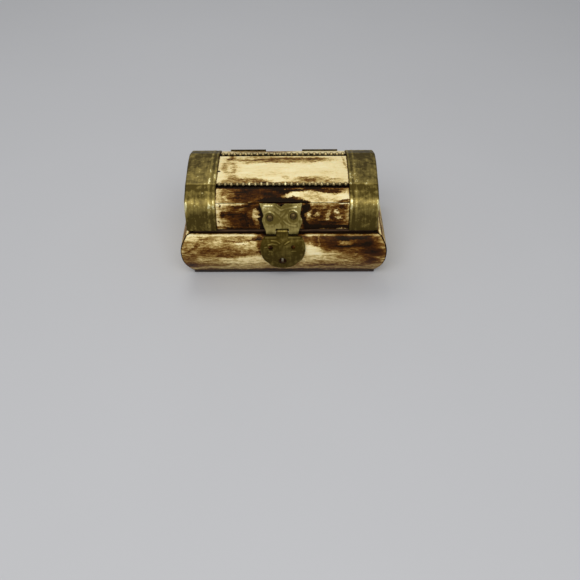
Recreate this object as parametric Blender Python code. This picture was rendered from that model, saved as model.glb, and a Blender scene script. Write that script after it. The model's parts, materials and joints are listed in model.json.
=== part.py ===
"""A bone trinket box: a small wooden box clad in bone, with a faceted barrel lid.

Bone panels with mitred, swelling fronts clad the body. Five bone slabs clad the
lid, a beaded brass wire lies in the groove at each side of its top, and a folded
brass band wraps each end. Two rolled brass hinges at the rear carry the lid, and a
shield-shaped hasp hangs from a rolled plate on the lid's front.

Metres. X runs along the box, the front faces -Y, and Z is up. The origin is the
middle of the underside.
"""

import math

import bmesh
import bpy
from mathutils import Matrix, Vector

# Fits
CLEARANCE = 0.0003
OVERRUN = 0.0020
MITRE_SETBACK = CLEARANCE / math.sqrt(2)

# Body: wooden box, bone cladding, base and lining
RIM_LENGTH = 0.0950
RIM_DEPTH = 0.0588
RIM_HEIGHT = 0.0267
SWELL = 0.0035
UNDERCUT = 0.0007
FULLEST_HEIGHT = 0.0163
UPPER_CURVE_POWER = 2.7
LOWER_CURVE_POWER = 2.0
PANEL_STEPS = 9
BODY_BONE_THICKNESS = 0.0030
BODY_BOARD_THICKNESS = 0.0020
BASE_THICKNESS = 0.0015
BASE_INSET = 0.0010
FELT_THICKNESS = 0.0004
FELT_INSET = 0.0012
WALL_LINING_THICKNESS = 0.0006
FLOOR_PAD_THICKNESS = 0.0012
LINING_BELOW_RIM = 0.0005

# Lid: bone slabs over boards, bone ends, brass bands and bead wires
LID_GAP = 0.0005
LID_END_SETBACK = 0.00055
LID_SIDE_SHIFT = -0.0008
LID_FRONT_SETBACK = 0.0036
RIDGE_LEAN = 0.0038
RIDGE_RISE = 0.0135
UPPER_FLAT_RUN = 0.0093
TOP_RISE = 0.0175
TOP_CROWN = 0.0005
CROWN_STEPS = 4
LID_BONE_THICKNESS = 0.0024
LID_BOARD_THICKNESS = 0.0018
LID_END_BONE_THICKNESS = 0.0020
LID_END_BOARD_THICKNESS = 0.0020
LID_LINING_THICKNESS = 0.0005
EASED_EDGE = 0.0004
WORN_RIDGE = 0.0005
LEFT_BAND_WIDTH = 0.0149
RIGHT_BAND_WIDTH = 0.0141
BAND_LIP = 0.0030
BAND_THICKNESS = 0.0004
BAND_RIDGE_RADIUS = 0.0024
BAND_LEAST_RADIUS = 0.0003
BAND_FOLD_EASE = 0.0004
FOLD_STEPS = 4
BEAD_RADIUS = 0.00115
BEAD_NECK_RADIUS = 0.0006
BEAD_PITCH = 0.00292
BEAD_GROOVE = 0.0015
BEAD_RISE = 0.0005
BEAD_SIDES = 8
BEAD_RINGS = 5

# Rolled brass hinges, which the hasp shares
AXIS_ABOVE_RIM = 0.0019
AXIS_BEHIND_RIM_EDGE = 0.0004
SHEET_THICKNESS = 0.0006
PIN_RADIUS = 0.0005
PIN_PLAY = 0.00025
ROLL_SWEEP = math.radians(250)
ROLL_STEPS = 11
PLATE_RISE = 0.0006
LEAF_STANDOFF = 0.0005
LEAF_STEPS = 5
LEAF_LEAVES_BONE = 0.0015
HINGE_WIDTH = 0.0187
HINGE_TO_BAND = 0.0042
HINGE_KNUCKLE = 0.0062
HINGE_LEAF_BELOW_FULLEST = 0.0022

# Hasp: plate on the lid, hanging leaf, staple in the body's front bone
HASP_SIDE_SHIFT = -0.0006
PLATE_WIDTH = 0.0202
PLATE_OUTLINE_SHARES = (
    (0.76, 0.00),
    (0.83, 0.14),
    (0.88, 0.25),
    (0.955, 0.38),
    (0.95, 0.45),
    (0.88, 0.55),
    (0.89, 0.62),
    (0.93, 0.80),
    (1.00, 1.00),
    (0.80, 0.955),
    (0.14, 0.955),
    (0.00, 0.90),
)
HASP_KNUCKLE = 0.0057
LEAF_WIDTH = 0.0212
LEAF_SHOULDER_WIDTH = 0.0176
LEAF_DROP = 0.0197
LEAF_WIDEST_DROP = 0.0078
LEAF_ROUND_POWER = 1.95
LEAF_ROUND_STEPS = 9
EYE_SPACING = 0.0110
EYE_DROP = 0.0062
EYE_RADIUS = 0.0011
LOCK_HOLE_DROP = 0.0149
LOCK_HOLE_RADIUS = 0.0020
STAPLE_WIDTH = 0.0011
STAPLE_HEIGHT = 0.0027
STAPLE_DEPTH = 0.0020

# Domed nails
NAIL_HEAD_RADIUS = 0.00175
NAIL_HEAD_HEIGHT = 0.0010
NAIL_SHANK_RADIUS = 0.0005
NAIL_SPACING = 0.0113
NAIL_UP_PLATE = 0.0069
NAIL_ABOVE_FULLEST = 0.0005
NAIL_SIDES = 12
HOLE_SIDES = 16

# Colour, roughness and metallic value of each finish
BONE = ((0.80, 0.68, 0.43), 0.38, 0.0)
STAINED_BONE = ((0.35, 0.20, 0.09), 0.42, 0.0)
WOOD = ((0.13, 0.07, 0.035), 0.60, 0.0)
BRASS = ((0.42, 0.36, 0.15), 0.42, 1.0)
DARK_BRASS = ((0.20, 0.17, 0.06), 0.50, 1.0)
NAIL_BRASS = ((0.22, 0.15, 0.08), 0.45, 1.0)
VELVET = ((0.22, 0.02, 0.03), 0.95, 0.0)
FELT = ((0.02, 0.02, 0.02), 0.95, 0.0)

# Places worked out from the sizes above
BASE_UNDERSIDE = FELT_THICKNESS + CLEARANCE
BONE_FOOT = BASE_UNDERSIDE + BASE_THICKNESS + CLEARANCE
BOARD_FACE = BODY_BONE_THICKNESS + CLEARANCE
BOARD_BACK = BOARD_FACE + BODY_BOARD_THICKNESS
LID_FOOT = RIM_HEIGHT + LID_GAP
BONE_TO_BOARD = LID_BONE_THICKNESS + CLEARANCE
BOARD_TO_LINING = BONE_TO_BOARD + LID_BOARD_THICKNESS + CLEARANCE
LID_FOOT_HALF_DEPTH = RIM_DEPTH / 2 - LID_FRONT_SETBACK
RIDGE_HALF_DEPTH = LID_FOOT_HALF_DEPTH - RIDGE_LEAN
TOP_HALF_DEPTH = RIDGE_HALF_DEPTH - UPPER_FLAT_RUN
BAND_END = RIM_LENGTH / 2 - LID_END_SETBACK
END_BONE_FACE = BAND_END - BAND_THICKNESS - CLEARANCE
END_BONE_BACK = END_BONE_FACE - LID_END_BONE_THICKNESS
END_BOARD_FACE = END_BONE_BACK - CLEARANCE
END_BOARD_BACK = END_BOARD_FACE - LID_END_BOARD_THICKNESS
BEADS_START = LID_SIDE_SHIFT - BAND_END + LEFT_BAND_WIDTH + CLEARANCE
BEADS_END = LID_SIDE_SHIFT + BAND_END - RIGHT_BAND_WIDTH - CLEARANCE
MEAN_BAND_WIDTH = (LEFT_BAND_WIDTH + RIGHT_BAND_WIDTH) / 2
HINGE_MIDDLE = BAND_END - MEAN_BAND_WIDTH - HINGE_TO_BAND - HINGE_WIDTH / 2
AXIS_HALF_DEPTH = RIM_DEPTH / 2 - AXIS_BEHIND_RIM_EDGE
AXIS_HEIGHT = RIM_HEIGHT + AXIS_ABOVE_RIM
HINGE_LEAF_FOOT = FULLEST_HEIGHT - HINGE_LEAF_BELOW_FULLEST
HASP_LEAF_FOOT = AXIS_HEIGHT - LEAF_DROP
ROLL_RADIUS = PIN_RADIUS + PIN_PLAY + SHEET_THICKNESS / 2
ROLL_OUTER_RADIUS = ROLL_RADIUS + SHEET_THICKNESS / 2
KNUCKLE_ROOM = ROLL_OUTER_RADIUS + CLEARANCE
AXIS = Vector((-AXIS_HALF_DEPTH, AXIS_HEIGHT))


def clear_scene():
    for piece in list(bpy.data.objects):
        bpy.data.objects.remove(piece, do_unlink=True)


def finish_of(name, finish):
    """A Principled material from a colour, a roughness and a metallic value."""
    colour, roughness, metallic = finish
    material = bpy.data.materials.new(name)
    material.use_nodes = True
    material.diffuse_color = (*colour, 1)
    shader = material.node_tree.nodes["Principled BSDF"]
    shader.inputs["Base Color"].default_value = (*colour, 1)
    shader.inputs["Roughness"].default_value = roughness
    shader.inputs["Metallic"].default_value = metallic
    return material


def piece_from(name, mesh, finish, carrier, smooth=False):
    """Ends a bmesh as a named object that its carrier holds."""
    bmesh.ops.recalc_face_normals(mesh, faces=mesh.faces)
    data = bpy.data.meshes.new(name)
    mesh.to_mesh(data)
    mesh.free()
    if smooth:
        data.shade_smooth()
        data.set_sharp_from_angle(angle=math.radians(40))
    piece = bpy.data.objects.new(name, data)
    bpy.context.scene.collection.objects.link(piece)
    if finish is None:
        piece.hide_render = True
        piece.display_type = "WIRE"
        return piece
    data.materials.append(finish_of(name, finish))
    data.transform(Matrix.Translation(-place_of(carrier)))
    piece.parent = carrier
    return piece


def place_of(carrier):
    """Where a carrier stands in the box's frame."""
    place = Vector()
    while carrier:
        place += carrier.location
        carrier = carrier.parent
    return place


def carrier_at(name, place, parent=None):
    """An empty that the pieces of one body hang on, on its joint's axis."""
    empty = bpy.data.objects.new(name, None)
    bpy.context.scene.collection.objects.link(empty)
    empty.location = place
    empty.parent = parent
    return empty


def change_by(piece, cutter, operation):
    """Cuts a piece by a cutter, or keeps what lies inside it."""
    boolean = piece.modifiers.new(cutter.name, "BOOLEAN")
    boolean.operation = operation
    boolean.object = cutter


def prism(name, outline, start, end, finish, carrier, smooth=False):
    """An outline in Y and Z, extruded along X."""
    mesh = bmesh.new()
    add_prism(mesh, outline, start, end)
    return piece_from(name, mesh, finish, carrier, smooth)


def add_prism(mesh, outline, start, end):
    face = mesh.faces.new([mesh.verts.new((start, y, z)) for y, z in outline])
    made = bmesh.ops.extrude_face_region(mesh, geom=[face])["geom"]
    verts = [item for item in made if isinstance(item, bmesh.types.BMVert)]
    bmesh.ops.translate(mesh, verts=verts, vec=(end - start, 0, 0))


def block(name, low, high, finish, carrier):
    """A board with square edges between two corners."""
    outline = (low[1], low[2]), (high[1], low[2]), (high[1], high[2]), (low[1], high[2])
    return prism(name, outline, low[0], high[0], finish, carrier)


def front_cutter(name, outline, near, far):
    """An outline in X and Z, extruded along Y, for cutting."""
    mesh = bmesh.new()
    face = mesh.faces.new([mesh.verts.new((x, near, z)) for x, z in outline])
    made = bmesh.ops.extrude_face_region(mesh, geom=[face])["geom"]
    verts = [item for item in made if isinstance(item, bmesh.types.BMVert)]
    bmesh.ops.translate(mesh, verts=verts, vec=(0, far - near, 0))
    return piece_from(name, mesh, None, None)


def add_turned(mesh, profile, sides, place):
    """Turns a profile of (height, radius) pairs round Z and puts it in its place."""
    verts = [mesh.verts.new((radius, 0, height)) for height, radius in profile]
    edges = [mesh.edges.new(pair) for pair in zip(verts, verts[1:])]
    bmesh.ops.spin(
        mesh,
        geom=verts + edges,
        cent=(0, 0, 0),
        axis=(0, 0, 1),
        angle=math.tau,
        steps=sides,
        use_merge=True,
    )
    spun = [vert for vert in mesh.verts if not vert.tag]
    bmesh.ops.remove_doubles(mesh, verts=spun, dist=CLEARANCE / 1000)
    spun = [vert for vert in mesh.verts if not vert.tag]
    ends = [edge for vert in spun for edge in vert.link_edges if edge.is_boundary]
    bmesh.ops.holes_fill(mesh, edges=list(set(ends)))
    bmesh.ops.transform(mesh, matrix=place, verts=spun)
    for vert in mesh.verts:
        vert.tag = True


def offset_path(path, distance, level_ends=False):
    """A path moved to its left with mitred corners. Level ends keep their height."""
    points = [Vector(point) for point in path]
    normals = []
    for start, end in zip(points, points[1:]):
        along = (end - start).normalized()
        normals.append(Vector((-along.y, along.x)))
    moved = []
    for index, point in enumerate(points):
        before = normals[max(index - 1, 0)]
        after = normals[min(index, len(normals) - 1)]
        mitre = (before + after) / (1 + before.dot(after))
        if level_ends and index in (0, len(points) - 1):
            mitre = Vector((1 / after.x, 0))
        moved.append(point + mitre * distance)
    return moved


def chamfered(outline, sizes):
    """The outline with the corners named in sizes cut back along both sides."""
    points = []
    for index, corner in enumerate(outline):
        if index not in sizes:
            points.append(corner)
            continue
        before = outline[index - 1]
        after = outline[(index + 1) % len(outline)]
        points.append(corner + (before - corner).normalized() * sizes[index])
        points.append(corner + (after - corner).normalized() * sizes[index])
    return points


def rounded_corner(before, corner, after, radius):
    """The points of an arc in place of a corner."""
    back, on = (before - corner).normalized(), (after - corner).normalized()
    half = back.angle(on) / 2
    centre = corner + (back + on).normalized() * radius / math.sin(half)
    start = corner + back * radius / math.tan(half) - centre
    end = corner + on * radius / math.tan(half) - centre
    bend = end.angle_signed(start)
    points = []
    for count in range(FOLD_STEPS + 1):
        points.append(centre + Matrix.Rotation(bend * count / FOLD_STEPS, 2) @ start)
    return points


def swell_at(height):
    """How far the bone stands out past the rim at a height."""
    if height > FULLEST_HEIGHT:
        share = (height - FULLEST_HEIGHT) / (RIM_HEIGHT - FULLEST_HEIGHT)
        return SWELL * (1 - share**UPPER_CURVE_POWER)
    share = (FULLEST_HEIGHT - height) / (FULLEST_HEIGHT - BONE_FOOT)
    return SWELL - (SWELL + UNDERCUT) * share**LOWER_CURVE_POWER


def bone_panel_outline():
    """A panel's section, as (how far out past the rim, height) pairs."""
    step = (RIM_HEIGHT - BONE_FOOT) / PANEL_STEPS
    heights = [BONE_FOOT + step * count for count in range(PANEL_STEPS + 1)]
    outline = [Vector((swell_at(height), height)) for height in heights]
    outline.append(Vector((-BODY_BONE_THICKNESS, RIM_HEIGHT)))
    outline.append(Vector((-BODY_BONE_THICKNESS, BONE_FOOT)))
    return chamfered(outline, {0: EASED_EDGE, PANEL_STEPS: EASED_EDGE})


def bone_panel(name, half_length, half_depth, turn, carrier):
    """A swelling bone panel whose ends are mitred on the corners' diagonals."""
    mesh = bmesh.new()
    ring = []
    for out, height in bone_panel_outline():
        end = half_length + out - MITRE_SETBACK
        ring.append(mesh.verts.new((-end, -half_depth - out, height)))
    made = bmesh.ops.extrude_face_region(mesh, geom=[mesh.faces.new(ring)])["geom"]
    for item in made:
        if isinstance(item, bmesh.types.BMVert):
            item.co.x = -item.co.x
    turned = Matrix.Rotation(turn, 4, "Z")
    bmesh.ops.transform(mesh, matrix=turned, verts=mesh.verts)
    return piece_from(name, mesh, BONE, carrier, smooth=True)


def body_cladding(carrier):
    """The four bone panels. The front one is returned, for the staple's slot."""
    half_length, half_depth = RIM_LENGTH / 2, RIM_DEPTH / 2
    front = bone_panel("front_bone_panel", half_length, half_depth, 0, carrier)
    quarter = math.pi / 2
    bone_panel("right_bone_panel", half_depth, half_length, quarter, carrier)
    bone_panel("rear_bone_panel", half_length, half_depth, 2 * quarter, carrier)
    bone_panel("left_bone_panel", half_depth, half_length, -quarter, carrier)
    return front


def body_carcass(carrier):
    """The base, its felt and the four boards that the bone is laid on."""
    base_x, base_y = RIM_LENGTH / 2 - BASE_INSET, RIM_DEPTH / 2 - BASE_INSET
    base_top = BASE_UNDERSIDE + BASE_THICKNESS
    low = (-base_x, -base_y, BASE_UNDERSIDE)
    block("base_board", low, (base_x, base_y, base_top), WOOD, carrier)
    felt_x, felt_y = base_x - FELT_INSET, base_y - FELT_INSET
    high = (felt_x, felt_y, FELT_THICKNESS)
    block("base_felt", (-felt_x, -felt_y, 0), high, FELT, carrier)
    outer_x, outer_y = RIM_LENGTH / 2 - BOARD_FACE, RIM_DEPTH / 2 - BOARD_FACE
    inner_x, inner_y = RIM_LENGTH / 2 - BOARD_BACK, RIM_DEPTH / 2 - BOARD_BACK
    low, high = (-outer_x, -outer_y, BONE_FOOT), (outer_x, -inner_y, RIM_HEIGHT)
    block("front_board", low, high, WOOD, carrier)
    low, high = (-outer_x, inner_y, BONE_FOOT), (outer_x, outer_y, RIM_HEIGHT)
    block("rear_board", low, high, WOOD, carrier)
    end_y = inner_y - CLEARANCE
    low, high = (-outer_x, -end_y, BONE_FOOT), (-inner_x, end_y, RIM_HEIGHT)
    block("left_board", low, high, WOOD, carrier)
    low, high = (inner_x, -end_y, BONE_FOOT), (outer_x, end_y, RIM_HEIGHT)
    block("right_board", low, high, WOOD, carrier)


def body_lining(carrier):
    """A velvet tray: a block whose top is inset and sunk to the floor pad."""
    half_x = RIM_LENGTH / 2 - BOARD_BACK - CLEARANCE
    half_y = RIM_DEPTH / 2 - BOARD_BACK - CLEARANCE
    top = RIM_HEIGHT - LINING_BELOW_RIM
    mesh = bmesh.new()
    outline = (-half_y, BONE_FOOT), (half_y, BONE_FOOT), (half_y, top), (-half_y, top)
    add_prism(mesh, outline, -half_x, half_x)
    bmesh.ops.recalc_face_normals(mesh, faces=mesh.faces)
    lid_face = max(mesh.faces, key=lambda face: face.calc_center_median().z)
    bmesh.ops.inset_region(
        mesh, faces=[lid_face], thickness=WALL_LINING_THICKNESS, use_even_offset=True
    )
    sunk = bmesh.ops.extrude_face_region(mesh, geom=[lid_face])["geom"]
    verts = [item for item in sunk if isinstance(item, bmesh.types.BMVert)]
    drop = top - BONE_FOOT - FLOOR_PAD_THICKNESS
    bmesh.ops.translate(mesh, verts=verts, vec=(0, 0, -drop))
    if lid_face.is_valid:
        bmesh.ops.delete(mesh, geom=[lid_face], context="FACES")
    piece_from("body_lining", mesh, VELVET, carrier)


def lid_rail():
    """The bone's outer line over the lid, from the front foot to the rear foot."""
    rail = [
        (-LID_FOOT_HALF_DEPTH, LID_FOOT),
        (-RIDGE_HALF_DEPTH, LID_FOOT + RIDGE_RISE),
    ]
    for count in range(CROWN_STEPS + 1):
        across = 2 * count / CROWN_STEPS - 1
        height = LID_FOOT + TOP_RISE + TOP_CROWN * (1 - across**2)
        rail.append((across * TOP_HALF_DEPTH, height))
    rail.append((RIDGE_HALF_DEPTH, LID_FOOT + RIDGE_RISE))
    rail.append((LID_FOOT_HALF_DEPTH, LID_FOOT))
    return [Vector(point) for point in rail]


def lid_corners():
    """The rail's points where one flat ends and the next starts, front to rear."""
    foot = 0
    ridge = foot + 1
    top_start = ridge + 1
    top_end = top_start + CROWN_STEPS
    rear_ridge = top_end + 1
    return foot, ridge, top_start, top_end, rear_ridge, rear_ridge + 1


def lid_ridges():
    """The rail's points on the front and the rear ridge."""
    return lid_corners()[1], lid_corners()[4]


def across_lid(half_length):
    """Where a piece this long starts and ends, as the lid sits to one side."""
    return LID_SIDE_SHIFT - half_length, LID_SIDE_SHIFT + half_length


def lid_flats():
    """The name of each flat of the lid, with its first and last point."""
    names = ("front_lower", "front_upper", "top", "rear_upper", "rear_lower")
    corners = lid_corners()
    return [("lid_" + name, *ends) for name, *ends in zip(names, corners, corners[1:])]


def slab_outline(rail, first, last, thickness, corner_sizes):
    """One flat of the lid between two mitres, each set back by half a clearance."""
    inner = offset_path(rail, -thickness, level_ends=True)
    head = (rail[first + 1] - rail[first]).normalized() * CLEARANCE / 2
    tail = (rail[last - 1] - rail[last]).normalized() * CLEARANCE / 2
    outer, inner = list(rail[first : last + 1]), inner[first : last + 1]
    if first > 0:
        outer[0] = outer[0] + head
        inner[0] = inner[0] + head
    if last < len(rail) - 1:
        outer[-1] = outer[-1] + tail
        inner[-1] = inner[-1] + tail
    corners = outer + inner[::-1]
    sizes = {0: corner_sizes[first], last - first: corner_sizes[last]}
    sizes = {index: size for index, size in sizes.items() if size}
    return chamfered(corners, sizes)


def lid_shell(carrier):
    """The bone slabs, and the boards and lining under them."""
    bone_rail = lid_rail()
    board_rail = offset_path(bone_rail, -BONE_TO_BOARD, level_ends=True)
    bone_corners = [EASED_EDGE] * len(bone_rail)
    for corner in lid_ridges():
        bone_corners[corner] = WORN_RIDGE
    for corner in lid_corners()[2:4]:
        bone_corners[corner] = BEAD_GROOVE
    plain_corners = [0] * len(bone_rail)
    bone_end, board_end = END_BONE_BACK - CLEARANCE, END_BOARD_BACK - CLEARANCE
    for name, first, last in lid_flats():
        outline = slab_outline(bone_rail, first, last, LID_BONE_THICKNESS, bone_corners)
        finish = STAINED_BONE if name.startswith("lid_front") else BONE
        prism(name + "_bone", outline, *across_lid(bone_end), finish, carrier)
        outline = slab_outline(
            board_rail, first, last, LID_BOARD_THICKNESS, plain_corners
        )
        prism(name + "_board", outline, *across_lid(board_end), WOOD, carrier)
    start, end = across_lid(board_end - LID_LINING_THICKNESS - CLEARANCE)
    lining_in = -BOARD_TO_LINING - LID_LINING_THICKNESS
    section = (
        (start, -BOARD_TO_LINING),
        (end, -BOARD_TO_LINING),
        (end, lining_in),
        (start, lining_in),
    )
    tracks = [offset_path(bone_rail, out, level_ends=True) for _, out in section]
    swept("lid_lining", section, tracks, VELVET, carrier)


def lid_ends(carrier):
    """At each end a bone panel, a board and a lining, all shaped to the lid."""
    layers = (
        ("bone", 0, END_BONE_FACE, LID_END_BONE_THICKNESS, BONE),
        ("board", -BONE_TO_BOARD, END_BOARD_FACE, LID_END_BOARD_THICKNESS, WOOD),
        (
            "lining",
            -BOARD_TO_LINING,
            END_BOARD_BACK - CLEARANCE,
            LID_LINING_THICKNESS,
            VELVET,
        ),
    )
    for layer, out, face, thickness, finish in layers:
        outline = offset_path(lid_rail(), out, level_ends=True)
        outline = chamfered(outline, dict.fromkeys(lid_ridges(), WORN_RIDGE))
        start, end = across_lid(face)
        name = "lid_left_end_" + layer
        prism(name, outline, start, start + thickness, finish, carrier)
        name = "lid_right_end_" + layer
        prism(name, outline, end - thickness, end, finish, carrier)


def swept(name, section, tracks, finish, carrier):
    """A section of (x, distance out) pairs, each swept along its own track."""
    mesh = bmesh.new()
    rings = []
    for station in range(len(tracks[0])):
        ring = []
        for (x, _), track in zip(section, tracks):
            ring.append(mesh.verts.new((x, *track[station])))
        rings.append(ring)
    count = len(section)
    for ring, following in zip(rings, rings[1:]):
        for corner in range(count):
            after = (corner + 1) % count
            mesh.faces.new(
                (ring[corner], ring[after], following[after], following[corner])
            )
    mesh.faces.new(rings[0])
    mesh.faces.new(rings[-1])
    return piece_from(name, mesh, finish, carrier)


def folded_track(out):
    """The lid's line at a distance out from the bone, bent softly over its ridges."""
    corners = offset_path(lid_rail(), out, level_ends=True)
    radius = max(BAND_RIDGE_RADIUS + out, BAND_LEAST_RADIUS)
    track = []
    for index, corner in enumerate(corners):
        if index in lid_ridges():
            track += rounded_corner(corners[index - 1], corner, corners[index + 1], radius)
        else:
            track.append(corner)
    return track


def brass_bands(carrier):
    """Two sheet bands, each folded over the end of the lid as a lip."""
    outside, inside = CLEARANCE + BAND_THICKNESS, CLEARANCE
    bands = (
        ("left_brass_band", -1, LEFT_BAND_WIDTH),
        ("right_brass_band", 1, RIGHT_BAND_WIDTH),
    )
    for name, side, width in bands:
        end = LID_SIDE_SHIFT + side * BAND_END
        inner_edge = end - side * width
        section = (
            (inner_edge, inside),
            (inner_edge, outside),
            (end - side * BAND_FOLD_EASE, outside),
            (end, outside - BAND_FOLD_EASE),
            (end, -BAND_LIP),
            (end - side * BAND_THICKNESS, -BAND_LIP),
            (end - side * BAND_THICKNESS, inside),
        )
        tracks = [folded_track(out) for _, out in section]
        swept(name, section, tracks, DARK_BRASS, carrier)


def bead_wires(carrier):
    """Two beaded wires in the grooves along the top, from band to band."""
    count = int((BEADS_END - BEADS_START) / BEAD_PITCH)
    neck_angle = math.asin(BEAD_NECK_RADIUS / BEAD_RADIUS)
    profile = []
    for bead in range(count):
        bead_middle = (bead - (count - 1) / 2) * BEAD_PITCH
        for ring in range(BEAD_RINGS):
            share = ring / (BEAD_RINGS - 1)
            angle = neck_angle + (math.pi - 2 * neck_angle) * share
            along = bead_middle - BEAD_RADIUS * math.cos(angle)
            profile.append((along, BEAD_RADIUS * math.sin(angle)))
    places = offset_path(lid_rail(), BEAD_RISE, level_ends=True)
    lying = Matrix.Rotation(math.pi / 2, 4, "Y")
    middle = (BEADS_START + BEADS_END) / 2
    names = ("front_bead_wire", "rear_bead_wire")
    for name, corner in zip(names, lid_corners()[2:4]):
        place = Matrix.Translation((middle, *places[corner])) @ lying
        mesh = bmesh.new()
        add_turned(mesh, profile, BEAD_SIDES, place)
        piece_from(name, mesh, DARK_BRASS, carrier, smooth=True)


def at_angle(radius, angle):
    return AXIS + radius * Vector((math.cos(angle), math.sin(angle)))


def plate_line():
    """The middle of a lid plate: down from the lid's ridge, then under the pin."""
    top = offset_path(lid_rail(), CLEARANCE + SHEET_THICKNESS / 2)[1]
    to_top = top - AXIS
    reach = math.acos(ROLL_RADIUS / to_top.length)
    touch = math.atan2(to_top.y, to_top.x) + reach
    up = (top - at_angle(ROLL_RADIUS, touch)).normalized()
    line = [top + up * PLATE_RISE]
    for count in range(ROLL_STEPS + 1):
        angle = touch + ROLL_SWEEP * count / ROLL_STEPS
        line.append(at_angle(ROLL_RADIUS, angle))
    return line


def leaf_line(foot):
    """The middle of a body leaf: up the swelling bone, then over the pin."""
    highest = RIM_HEIGHT - LEAF_LEAVES_BONE
    lowest = min(foot, FULLEST_HEIGHT) - OVERRUN
    bone = [(-RIM_DEPTH / 2 - SWELL, lowest)]
    for count in range(LEAF_STEPS + 1):
        height = FULLEST_HEIGHT + (highest - FULLEST_HEIGHT) * count / LEAF_STEPS
        bone.append((-RIM_DEPTH / 2 - swell_at(height), height))
    line = offset_path(bone, LEAF_STANDOFF + SHEET_THICKNESS / 2)
    for count in range(ROLL_STEPS + 1):
        angle = math.pi - ROLL_SWEEP * count / ROLL_STEPS
        line.append(at_angle(ROLL_RADIUS, angle))
    return line


def sheet_outline(line, rear=False):
    """The section of a sheet with this middle line, mirrored for the rear."""
    half = SHEET_THICKNESS / 2
    outline = offset_path(line, half) + offset_path(line, -half)[::-1]
    if rear:
        outline = [Vector((-point.x, point.y)) for point in outline]
    return outline


def mirrored_outline(right_side):
    """A closed outline from its right half, listed from bottom to top."""
    left_side = [(-x, z) for x, z in reversed(right_side) if x > 0]
    return right_side + left_side


def moved(outline, across):
    return [(x + across, z) for x, z in outline]


def plate_outline(width, knuckle, shares):
    """A lid plate from the front: its edge in shares, and a notch for the leaf."""
    low = AXIS_HEIGHT - KNUCKLE_ROOM
    high = plate_line()[0].y
    notch_top = AXIS_HEIGHT + KNUCKLE_ROOM + CLEARANCE
    notch_side = knuckle / 2 + CLEARANCE
    side = [(notch_side, notch_top), (notch_side, low)]
    for across, up in shares:
        side.append((across * width / 2, low + up * (high + OVERRUN / 2 - low)))
    return mirrored_outline(side)


def leaf_outline(knuckle, below_shoulders, shoulder_width):
    """A body leaf from the front: the knuckle's neck over a given lower shape."""
    shoulder = AXIS_HEIGHT - KNUCKLE_ROOM - CLEARANCE
    side = list(below_shoulders)
    side.append((shoulder_width / 2, shoulder))
    side.append((knuckle / 2, shoulder))
    side.append((knuckle / 2, AXIS_HEIGHT + KNUCKLE_ROOM))
    return mirrored_outline(side)


def shield_side():
    """The right side of the hasp leaf below its shoulders, a rounded shield."""
    widest = AXIS_HEIGHT - LEAF_WIDEST_DROP
    fall = LEAF_DROP - LEAF_WIDEST_DROP
    side = []
    for count in range(LEAF_ROUND_STEPS + 1):
        angle = math.pi / 2 * (1 - count / LEAF_ROUND_STEPS)
        across = abs(math.cos(angle)) ** (2 / LEAF_ROUND_POWER)
        down = math.sin(angle) ** (2 / LEAF_ROUND_POWER)
        side.append((across * LEAF_WIDTH / 2, widest - fall * down))
    side[0] = (0, widest - fall)
    shoulder = AXIS_HEIGHT - KNUCKLE_ROOM - CLEARANCE
    rise = shoulder - widest
    narrowing = (LEAF_WIDTH - LEAF_SHOULDER_WIDTH) / 2
    for share in (0.55, 0.85):
        across = LEAF_WIDTH / 2 - narrowing * share**3
        side.append((across, widest + rise * share))
    return side


def round_hole(name, x, z, radius):
    """A cutter for a round hole through a sheet at the front."""
    outline = []
    for count in range(HOLE_SIDES):
        angle = math.tau * count / HOLE_SIDES
        outline.append((x + radius * math.cos(angle), z + radius * math.sin(angle)))
    front = -RIM_DEPTH / 2 - SWELL
    return front_cutter(name, outline, front - OVERRUN, front + OVERRUN)


def cut_to(piece, outline, rear=False):
    """Keeps the part of a rolled sheet that lies in an outline seen from the front."""
    near = -RIM_DEPTH / 2 - SWELL - OVERRUN
    far = -RIDGE_HALF_DEPTH + OVERRUN
    if rear:
        near, far = -far, -near
    cutter = front_cutter(piece.name + "_outline", outline, near, far)
    change_by(piece, cutter, "INTERSECT")


def add_pin(name, middle, width, rear, carrier):
    """A hinge pin through its knuckles."""
    lying = Matrix.Rotation(math.pi / 2, 4, "Y")
    y = AXIS_HALF_DEPTH if rear else -AXIS_HALF_DEPTH
    place = Matrix.Translation((middle, y, AXIS_HEIGHT)) @ lying
    profile = ((-width / 2, PIN_RADIUS), (width / 2, PIN_RADIUS))
    mesh = bmesh.new()
    add_turned(mesh, profile, NAIL_SIDES, place)
    piece_from(name, mesh, BRASS, carrier, smooth=True)


def nail_profile(shank):
    """A domed nail: shank, flat underside and a low dome of three rings."""
    profile = [(-shank, 0), (-shank, NAIL_SHANK_RADIUS), (0, NAIL_SHANK_RADIUS)]
    profile.append((0, NAIL_HEAD_RADIUS))
    for share in (0.35, 0.70):
        radius = NAIL_HEAD_RADIUS * math.sqrt(1 - share**2)
        profile.append((NAIL_HEAD_HEIGHT * share, radius))
    profile.append((NAIL_HEAD_HEIGHT, 0))
    return profile


def nail_in_plate(x, rear):
    """Where a nail stands on a lid plate, and how deep its shank goes."""
    line = plate_line()
    up = (line[0] - line[1]).normalized()
    out = Vector((-up.y, up.x))
    foot = line[1] + up * NAIL_UP_PLATE + out * (SHEET_THICKNESS / 2 + CLEARANCE)
    ridge, lid_foot = lid_rail()[1], lid_rail()[0]
    along = (ridge - lid_foot).normalized()
    outward = Vector((-along.y, along.x))
    to_bone = (foot - lid_foot).dot(outward) / outward.dot(out)
    lean = math.atan2(out.y, -out.x)
    turn = math.pi / 2 - lean
    spot = Vector((x, *foot))
    rotation = Matrix.Rotation(turn, 4, "X")
    if rear:
        spot.y = -spot.y
        rotation = Matrix.Rotation(-turn, 4, "X")
    return Matrix.Translation(spot) @ rotation, to_bone - CLEARANCE


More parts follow.
